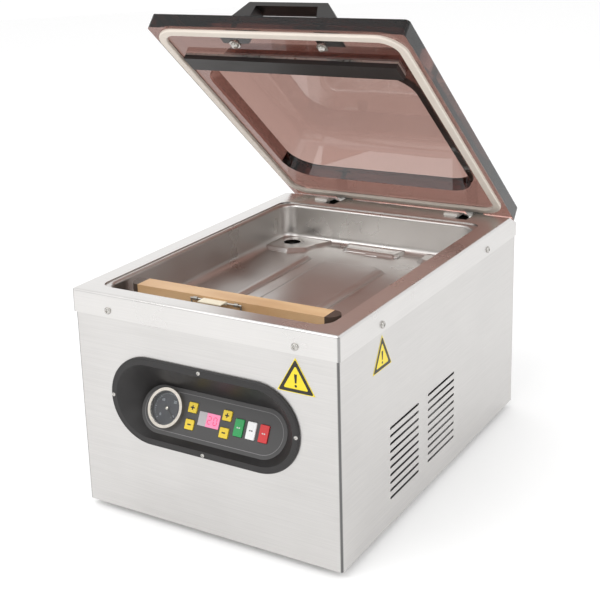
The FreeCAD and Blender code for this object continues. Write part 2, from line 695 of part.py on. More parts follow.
# ---------------------------------------------------------------- chamber
def make_tub():
    body = new_body("tub_body")
    flange_top = deck_under
    side = d.opening_half - d.tub_inset
    front = d.opening_front - d.tub_inset
    rear = d.opening_rear - d.tub_inset
    wall = d.tub_sheet
    shell = new_sketch(body, "tub_shell", "XY_Plane", tub_under)
    draw_rounded(shell, -side - wall, -front - wall, side + wall, rear + wall,
                 d.tub_radius + wall)
    pad(body, shell, flange_top - tub_under)
    lip = new_sketch(body, "tub_lip", "XY_Plane", flange_top - wall)
    reach = d.tub_inset + d.tub_lip
    draw_rounded(lip, -side - reach, -front - reach, side + reach, rear + reach,
                 d.tub_radius + reach)
    pad(body, lip, wall)

    def under_lip(edge):
        inner = edge.BoundBox.YMin > -number(front + wall) - 0.05
        return level(edge, flange_top - wall) and within(edge, side + wall) and inner and (
            edge.BoundBox.YMax < number(rear + wall) + 0.05)
    round_edges(body, d.tub_roll - wall, under_lip, "tub_neck")

    hollow = new_sketch(body, "tub_hollow", "XY_Plane", tub_under + wall)
    draw_rounded(hollow, -side, -front, side, rear, d.tub_radius)
    pocket(body, hollow, flange_top - tub_under)

    def inner_floor(edge):
        return level(edge, tub_under + wall)
    round_edges(body, d.tub_floor_radius, inner_floor, "tub_inner_floor")

    def outer_floor(edge):
        return level(edge, tub_under)
    round_edges(body, d.tub_floor_radius + wall, outer_floor, "tub_outer_floor")

    def mouth(edge):
        return level(edge, flange_top) and within(edge, side) and (
            edge.BoundBox.YMin > -number(front) - 0.05) and edge.BoundBox.YMax < number(rear) + 0.05
    round_edges(body, d.tub_roll, mouth, "tub_mouth")
    ribs = new_sketch(body, "tub_ribs", "XY_Plane", tub_under + wall)
    half = d.rib_width / 2
    draw_rounded(ribs, d.rib_left_x - half, -d.rib_front, d.rib_left_x + half, d.rib_left_rear,
                 d.rib_corner)
    draw_rounded(ribs, d.rib_right_x - half, -d.rib_front, d.rib_right_x + half,
                 d.rib_right_rear, d.rib_corner)
    draw_rounded(ribs, d.rib_back_left, d.rib_back_y - half, d.rib_back_right,
                 d.rib_back_y + half, d.rib_corner)
    pad(body, ribs, d.rib_height)

    def rib_top(edge):
        return level(edge, tub_under + wall + d.rib_height)
    round_edges(body, d.rib_round, rib_top, "tub_rib_tops")
    holes = new_sketch(body, "tub_holes", "XY_Plane", tub_under - wall)
    for side_of in (-1, 1):
        draw_circle(holes, side_of * d.rod_x, d.bar_y, (d.rod_dia + d.rod_gap) / 2)
    draw_circle(holes, d.port_x, d.port_y, d.port_bore / 2)
    pocket(body, holes, 3 * wall)
    node(body, "chamber_tub")


def bar_block(name, half_x, half_y, low, high):
    return slab(name, (-half_x, half_x), (d.bar_y - half_y, d.bar_y + half_y), (low, high))


def make_seal_bar():
    half = d.bar_length / 2 - d.bar_cap
    width = d.bar_width / 2
    low = bar_top - d.bar_height
    core_top = bar_top - d.tape
    beam = bar_block("bar_beam", half, width - d.tape, low, core_top)
    groove = bar_block("bar_groove", half, d.strip_width / 2, core_top - d.strip_thick, bar_top)
    node(cut("bar_core", beam, [groove]), "seal_bar_beam")
    node(bar_block("bar_strip", half, d.strip_width / 2, core_top - d.strip_thick, core_top),
         "heating_strip")
    skirt = bar_top - d.tape_skirt
    tape = bar_block("tape_outer", half, width, skirt, bar_top)
    inner = bar_block("tape_inner", half + 1, width - d.tape, skirt - 1, core_top)
    node(cut("tape_cover", tape, [inner]), "ptfe_cover")
    caps = []
    for side in (-1, 1):
        start = side * half
        left = start if side > 0 else start - (d.bar_cap - width)
        block = slab("cap_block_%d" % (side + 1), (left, left + (d.bar_cap - width)),
                     (d.bar_y - width, d.bar_y + width), (low, bar_top))
        nose = rod("cap_nose_%d" % (side + 1), width, d.bar_height,
                   (start + side * (d.bar_cap - width), d.bar_y, low))
        trim = slab("cap_trim_%d" % (side + 1), (-half, half),
                    (d.bar_y - d.bar_width, d.bar_y + d.bar_width), (low - 1, bar_top + 1))
        caps.append(cut("cap_%d" % (side + 1), join("cap_whole_%d" % (side + 1), [block, nose]),
                        [trim]))
    node(group("caps", caps), "bar_end_caps")
    rods, cylinders = [], []
    rod_low = tub_under - d.cylinder_height / 2
    for side in (-1, 1):
        x = side * d.rod_x
        rods.append(rod("lift_rod_%d" % (side + 1), d.rod_dia / 2, low - rod_low,
                        (x, d.bar_y, rod_low)))
        tube = rod("lift_tube_%d" % (side + 1), d.cylinder_dia / 2, d.cylinder_height,
                   (x, d.bar_y, tub_under - d.cylinder_height))
        bore = rod("lift_bore_%d" % (side + 1), (d.rod_dia + d.rod_gap) / 2,
                   d.cylinder_height / 2 + d.bore_rise, (x, d.bar_y, rod_low - d.bore_drop))
        cylinders.append(cut("lift_cylinder_%d" % (side + 1), tube, [bore]))
    node(group("rods", rods), "lift_rods")
    node(group("cylinders", cylinders), "lift_cylinders")


def make_bag_clip():
    """A spring-steel rail in two eyelets on the bar's front, with a plate that flips up."""
    y = d.bar_y - d.bar_width / 2 - d.clip_stand
    z = bar_top - d.clip_drop
    wire = rod("clip_rail", d.clip_wire / 2, d.clip_right - d.clip_left, (d.clip_left, y, z), "x")
    hooks = [rod("clip_hook_%d" % i, d.clip_wire / 2, d.hook_length,
                 (x, y, z - d.hook_length))
             for i, x in enumerate((d.clip_left + d.clip_wire / 2, d.clip_right - d.clip_wire / 2))]
    node(join("clip_wires", [wire] + hooks), "clip_wire")
    tube = rod("plate_tube", d.clip_wire, d.clip_plate_right - d.clip_plate_left,
               (d.clip_plate_left, y, z), "x")
    leaf = slab("plate_leaf", (d.clip_plate_left, d.clip_plate_right),
                (y - d.clip_plate_width, y), (z + d.clip_wire - d.clip_plate_thick,
                                              z + d.clip_wire))
    bore = rod("plate_bore", d.clip_wire / 2, d.clip_plate_right - d.clip_plate_left,
               (d.clip_plate_left, y, z), "x")
    node(cut("plate", join("plate_whole", [tube, leaf]), [bore]), "clip_plate")
    eyelets = []
    for i, x in enumerate((d.clip_left + 2 * d.clip_wire,
                           d.clip_right - 2 * d.clip_wire - d.eyelet_length)):
        ring = rod("eyelet_ring_%d" % i, d.clip_wire, d.eyelet_length, (x, y, z), "x")
        neck = slab("eyelet_neck_%d" % i, (x, x + d.eyelet_length),
                    (y, d.bar_y - d.bar_width / 2), (z - d.clip_wire, z))
        hole = rod("eyelet_bore_%d" % i, (d.clip_wire + d.pin_gap) / 2, d.eyelet_length,
                   (x, y, z), "x")
        eyelets.append(cut("eyelet_%d" % i, join("eyelet_whole_%d" % i, [ring, neck]), [hole]))
    node(group("eyelets", eyelets), "clip_eyelets")


# ---------------------------------------------------------------- lid
def dome_sketch(body, name, height, grow, shrink):
    sketch = new_sketch(body, name, "XY_Plane", height)
    half = d.dome_half + grow - shrink
    draw_rounded(sketch, -half, along_lid(d.dome_front) - grow + shrink, half,
                 along_lid(d.dome_rear) + grow - shrink, d.dome_corner + grow - shrink / 2)
    return sketch


def loft(body, kind, name, low, high):
    made = body.newObject(kind, name)
    made.Profile = low
    made.Sections = [high]
    made.Ruled = True
    doc.recompute()
    return made


def ring_outline(sketch, half, rear, front, radius, width):
    for grow in (width / 2, -width / 2):
        draw_rounded(sketch, -half - grow, along_lid(front) - grow, half + grow,
                     along_lid(rear) + grow, radius + grow)


def make_lid_window():
    body = new_body("lid_body")
    half = d.lid_width / 2
    plate = new_sketch(body, "lid_plate", "XY_Plane", lid_under)
    draw_rounded(plate, -half, lid_front, half, lid_back, d.lid_corner)
    pad(body, plate, d.lid_thick)
    rise = d.dome_depth + d.dome_wall - d.lid_thick
    outer_top = lid_under + d.dome_depth + d.dome_wall
    low = dome_sketch(body, "dome_foot", lid_top, d.dome_wall, d.dome_foot_slope)
    high = dome_sketch(body, "dome_crown", outer_top, d.dome_wall, d.dome_slope)
    loft(body, "PartDesign::AdditiveLoft", "dome_outer", low, high)

    def crown(edge):
        return level(edge, outer_top)
    round_edges(body, d.dome_round + d.dome_wall / 2, crown, "dome_shoulder")
    mouth = dome_sketch(body, "dome_mouth", lid_under, ZERO, ZERO)
    roof = dome_sketch(body, "dome_roof", lid_under + d.dome_depth, ZERO, d.dome_slope)
    loft(body, "PartDesign::SubtractiveLoft", "dome_hollow", mouth, roof)

    def ceiling(edge):
        return level(edge, lid_under + d.dome_depth)
    round_edges(body, d.dome_round, ceiling, "dome_ceiling")
    groove = new_sketch(body, "gasket_groove_ring", "XY_Plane", lid_under)
    ring_outline(groove, d.gasket_half, d.gasket_rear, d.gasket_front, d.gasket_radius,
                 d.gasket_width + 2 * d.gasket_gap)
    pocket(body, groove, d.gasket_groove)
    holes = new_sketch(body, "lid_holes", "XY_Plane", lid_under)
    handle_y = along_lid(d.handle_far - d.handle_deep / 2)
    for side in (-1, 1):
        draw_circle(holes, side * d.handle_bolt_x, handle_y, (d.bolt_dia + d.bolt_gap) / 2)
    for x in arm_centres:
        draw_circle(holes, x, along_lid(d.arm_flange_deep / 2), (d.bolt_dia + d.bolt_gap) / 2)
    pocket(body, holes, d.lid_thick)
    seats = new_sketch(body, "arm_seats", "XY_Plane", lid_under - d.skin)
    reach = d.arm_width + d.arm_seat_gap
    for x in arm_centres:
        draw_outline(seats, rectangle((
            (x - reach, x + reach),
            (along_lid(d.arm_flange_deep + d.arm_seat_gap), lid_back + d.skin))))
    pocket(body, seats, d.arm_flange + d.arm_seat_gap + d.skin)
    open_lid(node(body, "lid_window"))


def make_gasket():
    body = new_body("gasket_body")
    ring = new_sketch(body, "gasket_ring", "XY_Plane", lid_under - d.gasket_proud)
    ring_outline(ring, d.gasket_half, d.gasket_rear, d.gasket_front, d.gasket_radius,
                 d.gasket_width)
    pad(body, ring, d.gasket_proud + d.gasket_groove)

    def lower_edge(edge):
        return level(edge, lid_under - d.gasket_proud)
    round_edges(body, d.gasket_width / 6, lower_edge, "gasket_lips")
    open_lid(node(body, "lid_gasket"))


def make_counter_bar():
    near_y, far_y = along_lid(d.counter_near), along_lid(d.counter_near + d.counter_width)
    channel_low = lid_under - d.counter_channel
    span = (-d.counter_half, d.counter_half)
    channel = slab("counter_plate", span, (far_y, near_y), (channel_low, lid_under))
    open_lid(node(group("counter_rail", [channel]), "counter_bar_channel"))
    rubber = slab("counter_block", span, (far_y, near_y),
                  (lid_under - d.counter_drop, channel_low))
    open_lid(node(group("counter_rubber", [rubber]), "counter_bar"))


def make_handle():
    body = new_body("handle_body")
    side = new_sketch(body, "handle_side", "XZ_Plane", -along_lid(d.handle_far - d.handle_deep))
    foot_inner = d.handle_base - d.handle_foot
    bar_low = lid_top + d.handle_rise - d.handle_bar
    top = lid_top + d.handle_rise
    draw_outline(side, [
        (-d.handle_base, lid_top), (-foot_inner, lid_top), (-d.handle_inner, bar_low),
        (d.handle_inner, bar_low), (foot_inner, lid_top), (d.handle_base, lid_top),
        (d.handle_top, top), (-d.handle_top, top)])
    pad(body, side, d.handle_deep)
    tapped = new_sketch(body, "handle_holes", "XY_Plane", lid_top)
    for end in (-1, 1):
        draw_circle(tapped, end * d.handle_bolt_x, along_lid(d.handle_far - d.handle_deep / 2),
                    d.bolt_dia / 2)
    pocket(body, tapped, d.bolt_dia)

    def outer_edge(edge):
        box_of = edge.BoundBox
        return box_of.ZMin > number(top) - 0.01 or (
            box_of.ZMax > number(top) - 0.01 and box_of.ZMin < number(lid_top) + 0.01)
    round_edges(body, d.handle_round, outer_edge, "handle_soft_edges")
    open_lid(node(body, "lid_handle"))

    bolts = []
    y = along_lid(d.handle_far - d.handle_deep / 2)
    for i, end in enumerate((-1, 1)):
        x = end * d.handle_bolt_x
        washer = rod("bolt_washer_%d" % i, d.washer_radius, d.washer_sheet,
                     (x, y, lid_under - d.washer_sheet))
        dome = doc.addObject("Part::Sphere", "bolt_dome_%d" % i)
        bind(dome, "Radius", d.nut_dome)
        place(dome, (x, y, lid_under - d.dome_sink))
        flat = slab("bolt_flat_%d" % i, (x - d.bolt_dia, x + d.bolt_dia),
                    (y - d.bolt_dia, y + d.bolt_dia), (lid_under - 1, lid_under + d.bolt_dia))
        shank = rod("bolt_shank_%d" % i, d.bolt_dia / 2, d.lid_thick + d.bolt_dia,
                    (x, y, lid_under))
        bolts.append(join("handle_bolt_%d" % i, [
            washer, cut("bolt_cap_%d" % i, dome, [flat]), shank]))
    open_lid(node(group("handle_bolt_set", bolts), "handle_bolts"))


def make_hinge_arms():
    arms, bolts = [], []
    flange_top = lid_under + d.arm_flange
    for i, x in enumerate(arm_centres):
        span = (x - d.arm_width / 2, x + d.arm_width / 2)
        eye = rod("arm_eye_%d" % i, d.arm_eye, d.arm_width, (span[0], 0, 0), "x")
        web = slab("arm_web_%d" % i, span, (-d.arm_deep / 2, d.arm_deep / 2),
                   (ZERO, flange_top))
        neck = slab("arm_neck_%d" % i, span, (lid_back, d.arm_deep / 2), (lid_under, flange_top))
        flange = slab("arm_flange_%d" % i, (x - d.arm_width, x + d.arm_width),
                      (along_lid(d.arm_flange_deep), lid_back), (lid_under, flange_top))
        bore = rod("arm_bore_%d" % i, d.shaft_dia / 2, d.arm_width, (span[0], 0, 0), "x")
        bolt_y = along_lid(d.arm_flange_deep / 2)
        tapped = rod("arm_tap_%d" % i, d.bolt_dia / 2, d.arm_flange, (x, bolt_y, lid_under))
        arms.append(cut("arm_%d" % i, join("arm_whole_%d" % i, [eye, web, neck, flange]),
                        [bore, tapped]))
        shank = rod("arm_bolt_shank_%d" % i, d.bolt_dia / 2, d.lid_thick, (x, bolt_y, lid_under))
        head = rod("arm_bolt_head_%d" % i, d.arm_head_radius, d.arm_head_height,
                   (x, bolt_y, lid_top))
        bolts.append(join("arm_bolt_%d" % i, [shank, head]))
    open_lid(node(group("arms", arms), "hinge_arms"))
    open_lid(node(group("arm_bolt_set", bolts), "arm_bolts"))
    shaft = rod("shaft_rod", d.shaft_dia / 2, 2 * d.shaft_end, (-d.shaft_end, 0, 0), "x")
    open_lid(node(group("shaft", [shaft]), "hinge_shaft"))


def make_hinge_fixings():
    brackets, pads, springs = [], [], []
    front = half_depth - d.slot_front - d.bracket_front_gap / 2
    low = pivot_z - d.arm_eye - d.bracket_sheet
    for i, x in enumerate(arm_centres):
        for side in (-1, 1):
            tag = "%d_%d" % (i, side + 1)
            face = x + side * d.bracket_offset
            left = face if side > 0 else face - d.bracket_sheet
            plate = slab("bracket_plate_" + tag, (left, left + d.bracket_sheet),
                         (front, front + d.bracket_deep), (low, deck_under))
            foot_left = left if side > 0 else left + d.bracket_sheet - d.bracket_foot
            foot = slab("bracket_foot_" + tag, (foot_left, foot_left + d.bracket_foot),
                        (front, front + d.bracket_deep), (deck_under - d.bracket_sheet, deck_under))
            bore = rod("bracket_bore_" + tag, (d.shaft_dia + d.pin_gap) / 2, d.bracket_sheet,
                       (left, pivot_y, pivot_z), "x")
            brackets.append(cut("bracket_" + tag, join("bracket_whole_" + tag, [plate, foot]),
                                [bore]))
    node(group("brackets", brackets), "hinge_brackets")
    for i, start in enumerate((d.spring_left, -d.spring_left - d.spring_length)):
        coil = rod("spring_coil_%d" % i, d.spring_radius, d.spring_length,
                   (start, pivot_y, pivot_z), "x")
        core = rod("spring_core_%d" % i, (d.shaft_dia + 4 * d.pin_gap) / 2, d.spring_length,
                   (start, pivot_y, pivot_z), "x")
        springs.append(cut("spring_%d" % i, coil, [core]))
    node(group("springs", springs), "torsion_springs")
    for i, x in enumerate(arm_centres):
        right = x - d.slot_width / 2 - d.rest_pad_gap
        pads.append(slab("hinge_pad_%d" % i, (right - d.rest_pad_width, right),
                         (pivot_y + d.rest_pad_inset, pivot_y + d.rest_pad_inset + d.rest_pad_deep),
                         (d.deck_height, d.deck_height + d.rest_pad_height)))
    node(group("hinge_pad_group", pads), "hinge_pads")


# ---------------------------------------------------------------- controls
def recess_length():
    return d.bezel_mouth_length + 2 * d.bezel_wall


def recess_tall():
    return d.bezel_mouth_tall + 2 * d.bezel_wall


def panel_tall():
    """The panel is as tall as the gauge with a rim above and below."""
    return d.gauge_dia + 2 * d.panel_rim


def gauge_x():
    """The gauge stands a small gap to the left of the left keys."""
    return d.small_key_left - d.small_key / 2 - d.gauge_key_gap - d.gauge_dia / 2


def panel_sketch(body, name, back, grow):
    """A stadium in the control panel's sloping plane, moved back along its normal."""
    sketch = new_sketch(body, name, "XZ_Plane")
    tilt = d.panel_tilt
    centre = (0, d.panel_z - back * sine(tilt),
              casing_back - d.panel_back - back * cosine(tilt))
    place(sketch, centre, X_AXIS, -tilt, "AttachmentOffset")
    draw_pill(sketch, ZERO, ZERO, d.panel_length + 2 * grow, panel_tall() + 2 * grow)
    return sketch


def make_bezel():
    body = new_body("bezel_body")
    rim = new_sketch(body, "bezel_rim", "XZ_Plane", casing_back)
    draw_pill(rim, ZERO, d.bezel_z, d.bezel_length, d.bezel_tall)
    pad(body, rim, d.bezel_proud)

    def rim_edge(edge):
        return near(edge.BoundBox.YMax, -casing_back - d.bezel_proud)
    round_edges(body, d.bezel_round, rim_edge, "bezel_soft_rim")
    mouth = new_sketch(body, "recess_outer_mouth", "XZ_Plane", casing_back)
    draw_pill(mouth, ZERO, d.bezel_z, recess_length(), recess_tall())
    end = panel_sketch(body, "recess_outer_end", ZERO, d.bezel_wall)
    loft(body, "PartDesign::AdditiveLoft", "recess_outer", mouth, end)
    inner = new_sketch(body, "recess_inner_mouth", "XZ_Plane", casing_back + d.bezel_proud)
    draw_pill(inner, ZERO, d.bezel_z, d.bezel_mouth_length, d.bezel_mouth_tall)
    inner_end = panel_sketch(body, "recess_inner_end", ZERO, ZERO)
    loft(body, "PartDesign::SubtractiveLoft", "recess_inner", inner, inner_end)
    holes = new_sketch(body, "bezel_holes", "XZ_Plane", casing_back)
    for side in (-1, 1):
        draw_circle(holes, side * d.bezel_screw_x, d.bezel_z, d.bezel_screw_head / 4)
        draw_circle(holes, ZERO, d.bezel_z + side * d.bezel_screw_z,
                    d.bezel_screw_head / 4)
    pocket(body, holes, d.bezel_proud + d.skin)
    node(body, "control_bezel")
    screws = []
    places = [(side * d.bezel_screw_x, d.bezel_z) for side in (-1, 1)]
    places += [(0, d.bezel_z + side * d.bezel_screw_z) for side in (-1, 1)]
    for i, (x, z) in enumerate(places):
        head = rod("bezel_head_%d" % i, d.bezel_screw_head / 2, d.bezel_screw_head / 4,
                   (x, -casing_back - d.bezel_proud - d.bezel_screw_head / 4, z), "y")
        shank = rod("bezel_shank_%d" % i, d.bezel_screw_head / 4,
                    d.bezel_proud + d.skin + d.bezel_screw_reach,
                    (x, -casing_back - d.bezel_proud, z), "y")
        screws.append(join("bezel_screw_%d" % i, [head, shank]))
    node(group("bezel_screw_set", screws), "bezel_screws")


def on_panel(obj):
    """Stand a piece drawn flat, facing +z, on the sloping panel's front face."""
    return place(obj, (0, -casing_back + d.panel_back, d.panel_z), X_AXIS, 90 - d.panel_tilt)


KEYS = [
    ("key_plus_left", d.small_key_left, d.small_key_up, d.small_key, d.small_key),
    ("key_minus_left", d.small_key_left, d.small_key_down, d.small_key, d.small_key),
    ("key_plus_right", d.small_key_right, d.small_key_up, d.small_key, d.small_key),
    ("key_minus_right", d.small_key_right, d.small_key_down, d.small_key, d.small_key),
    ("key_green", d.tall_key_x, d.tall_key_v, d.tall_key_wide, d.tall_key),
    ("key_white", d.tall_key_x + d.tall_key_pitch, d.tall_key_v, d.tall_key_wide, d.tall_key),
    ("key_red", d.tall_key_x + 2 * d.tall_key_pitch, d.tall_key_v, d.tall_key_wide, d.tall_key),
]


def around(x, y, wide, tall, grow):
    """Spans of a rectangle about a point, grown on every side."""
    half_x, half_y = wide / 2 + grow, tall / 2 + grow
    return (x - half_x, x + half_x), (y - half_y, y + half_y)


def make_panel():
    body = new_body("panel_body")
    plate = new_sketch(body, "panel_plate", "XY_Plane", -d.panel_sheet)
    grow = d.bezel_wall
    draw_pill(plate, ZERO, ZERO, d.panel_length + 2 * grow, panel_tall() + 2 * grow)
    pad(body, plate, d.panel_sheet)
    windows = new_sketch(body, "panel_windows", "XY_Plane", -2 * d.panel_sheet)
    for name, x, y, wide, tall in KEYS:
        spans = around(x, y, wide, tall, d.key_gap)
        draw_rounded(windows, spans[0][0], spans[1][0], spans[0][1], spans[1][1],
                     d.key_corner + d.key_gap)
    draw_circle(windows, gauge_x(), d.gauge_v, gauge_case_radius() + d.cut_gap)
    pocket(body, windows, 3 * d.panel_sheet)
    seat = new_sketch(body, "display_seat", "XY_Plane", d.display_proud - d.panel_seat)
    draw_outline(seat, rectangle(display_spans(d.cut_gap / 2)))
    pocket(body, seat, d.panel_sheet)
    on_panel(node(body, "control_panel"))
    spans = display_spans(ZERO)
    glass = slab("display_glass", spans[0], spans[1],
                 (d.display_proud - d.panel_seat, d.display_proud))
    on_panel(node(group("display", [glass]), "display_window"))
    for name, x, y, wide, tall in KEYS:
        make_key(name, x, y, wide, tall)
    board_x, board_y = around(d.board_x, ZERO, d.board_length, d.board_tall, 0)
    board = slab("board_sheet", board_x, board_y,
                 (-d.panel_sheet - d.board_back - d.pan_sheet, -d.panel_sheet - d.board_back))
    chip_top = -d.panel_sheet - d.board_back - d.pan_sheet
    chips = [slab("board_chip_%d" % i, (x - d.chip_side / 2, x + d.chip_side / 2),
                  (-d.chip_side / 2, d.chip_side / 2), (chip_top - d.chip_tall, chip_top))
             for i, x in enumerate((d.board_x - d.chip_pitch, d.board_x, d.board_x + d.chip_pitch))]
    on_panel(node(join("board", [board] + chips), "control_board"))


def rectangle(spans):
    (left, right), (low, high) = spans
    return [(left, low), (right, low), (right, high), (left, high)]


def display_spans(grow):
    return around(d.display_left + d.display_width / 2, ZERO, d.display_width,
                  d.display_tall, grow)


def make_key(name, x, y, wide, tall):
    """A key cap through the panel, with a skirt behind that keeps it from falling out."""
    body = new_body(name + "_body")
    spans = around(x, y, wide, tall, 0)
    cap = new_sketch(body, name + "_cap", "XY_Plane", -d.panel_sheet - d.key_skirt_gap)
    draw_rounded(cap, spans[0][0], spans[1][0], spans[0][1], spans[1][1], d.key_corner)
    pad(body, cap, d.panel_sheet + d.key_skirt_gap + d.key_proud)

    def cap_edge(edge):
        return level(edge, d.key_proud)
    round_edges(body, d.key_round, cap_edge, name + "_soft_edge")
    skirt = new_sketch(body, name + "_skirt", "XY_Plane",
                       -d.panel_sheet - d.key_skirt_gap - d.key_skirt_sheet)
    wide_spans = around(x, y, wide, tall, d.key_skirt)
    draw_outline(skirt, rectangle(wide_spans))
    pad(body, skirt, d.key_skirt_sheet)
    on_panel(node(body, name))


def gauge_case_radius():
    return d.gauge_dia / 2 - d.gauge_wall


def make_gauge():
    centre = (gauge_x(), d.gauge_v)
    radius = gauge_case_radius()
    inside = radius - d.gauge_wall / 2
    dial_low = d.gauge_proud - 2 * d.dial_drop - d.dial_sheet

    def disc(name, r, low, high):
        return rod(name, r, high - low, (centre[0], centre[1], low))
    cup = disc("case_cup", radius, -d.gauge_depth, d.gauge_proud / 2)
    room = disc("case_room", inside, dial_low, d.gauge_proud)
    stem = rod("case_stem", d.stem_radius, d.stem_length,
               (centre[0], centre[1], -d.gauge_depth - d.stem_length))
    on_panel(node(cut("gauge_cup", join("gauge_whole", [cup, stem]), [room]), "gauge_case"))
    rim = disc("ring_outer", d.gauge_dia / 2, ZERO, d.gauge_proud)
    hole = disc("ring_hole", radius, ZERO, d.gauge_proud / 2)
    view = disc("ring_view", inside, ZERO, d.gauge_proud)
    on_panel(node(cut("ring_metal", rim, [hole, view]), "gauge_ring"))
    dial = disc("dial_disc", inside, dial_low, dial_low + d.dial_sheet)
    pivot_hole = disc("dial_hole", d.needle_width, dial_low - d.dial_sheet, dial_low + 2 * d.dial_sheet)
    on_panel(node(cut("dial_card", dial, [pivot_hole]), "gauge_dial"))
    top = d.gauge_proud - d.glass_drop
    lens = disc("lens_disc", inside, top - d.gauge_glass, top)
    on_panel(node(group("lens", [lens]), "gauge_lens"))
    needle_low = dial_low + d.dial_sheet + d.needle_rise
    blade = slab("needle_blade", (-d.needle_tail, d.needle_long),
                 (-d.needle_width / 2, d.needle_width / 2),
                 (needle_low, needle_low + d.needle_sheet))
    hub = rod("needle_hub", d.hub_radius, 2 * d.needle_sheet, (0, 0, needle_low))
    pin = rod("needle_pin", d.needle_width / 2, 2 * d.needle_sheet,
              (0, 0, needle_low - 2 * d.needle_sheet))
    pointer = join("needle", [blade, hub, pin])
    place(pointer, (centre[0], centre[1], 0), Z_AXIS, -d.needle_rest)
    on_panel(node(group("needle_on_dial", [pointer]), "gauge_needle"))


# ---------------------------------------------------------------- works inside
def bent_wire(points):
    """Straight runs joined by tangent arcs as large as the shorter run allows."""
    flat = [Vector(*[number(part) for part in point]) for point in points]
    edges, start = [], flat[0]
    for before, corner, after in zip(flat, flat[1:], flat[2:]):
        run_in, run_out = corner - before, after - corner
        reach = 0.45 * min(run_in.Length, run_out.Length)
        enter = corner - run_in.normalize() * reach
        leave = corner + run_out.normalize() * reach
        middle = (enter + leave) / 2
        half_turn = run_in.getAngle(run_out) / 2
        radius = reach / math.tan(half_turn)
        inward = (middle - corner).normalize()
        centre = corner + inward * (radius / math.cos(half_turn))
        edges.append(Part.LineSegment(start, enter).toShape())
        edges.append(Part.Arc(enter, centre - inward * radius, leave).toShape())
        start = leave
    edges.append(Part.LineSegment(start, flat[-1]).toShape())
    return Part.Wire(edges)


def make_hose(name, points, radius):
    path = bent_wire(points)
    first = path.Edges[0]
    ring = Part.Wire(Part.makeCircle(number(radius), first.valueAt(first.FirstParameter),
                                     first.tangentAt(first.FirstParameter)))
    made = doc.addObject("Part::Feature", name + "_tube")
    made.Shape = path.makePipeShell([ring], True, False)
    node(made, name)


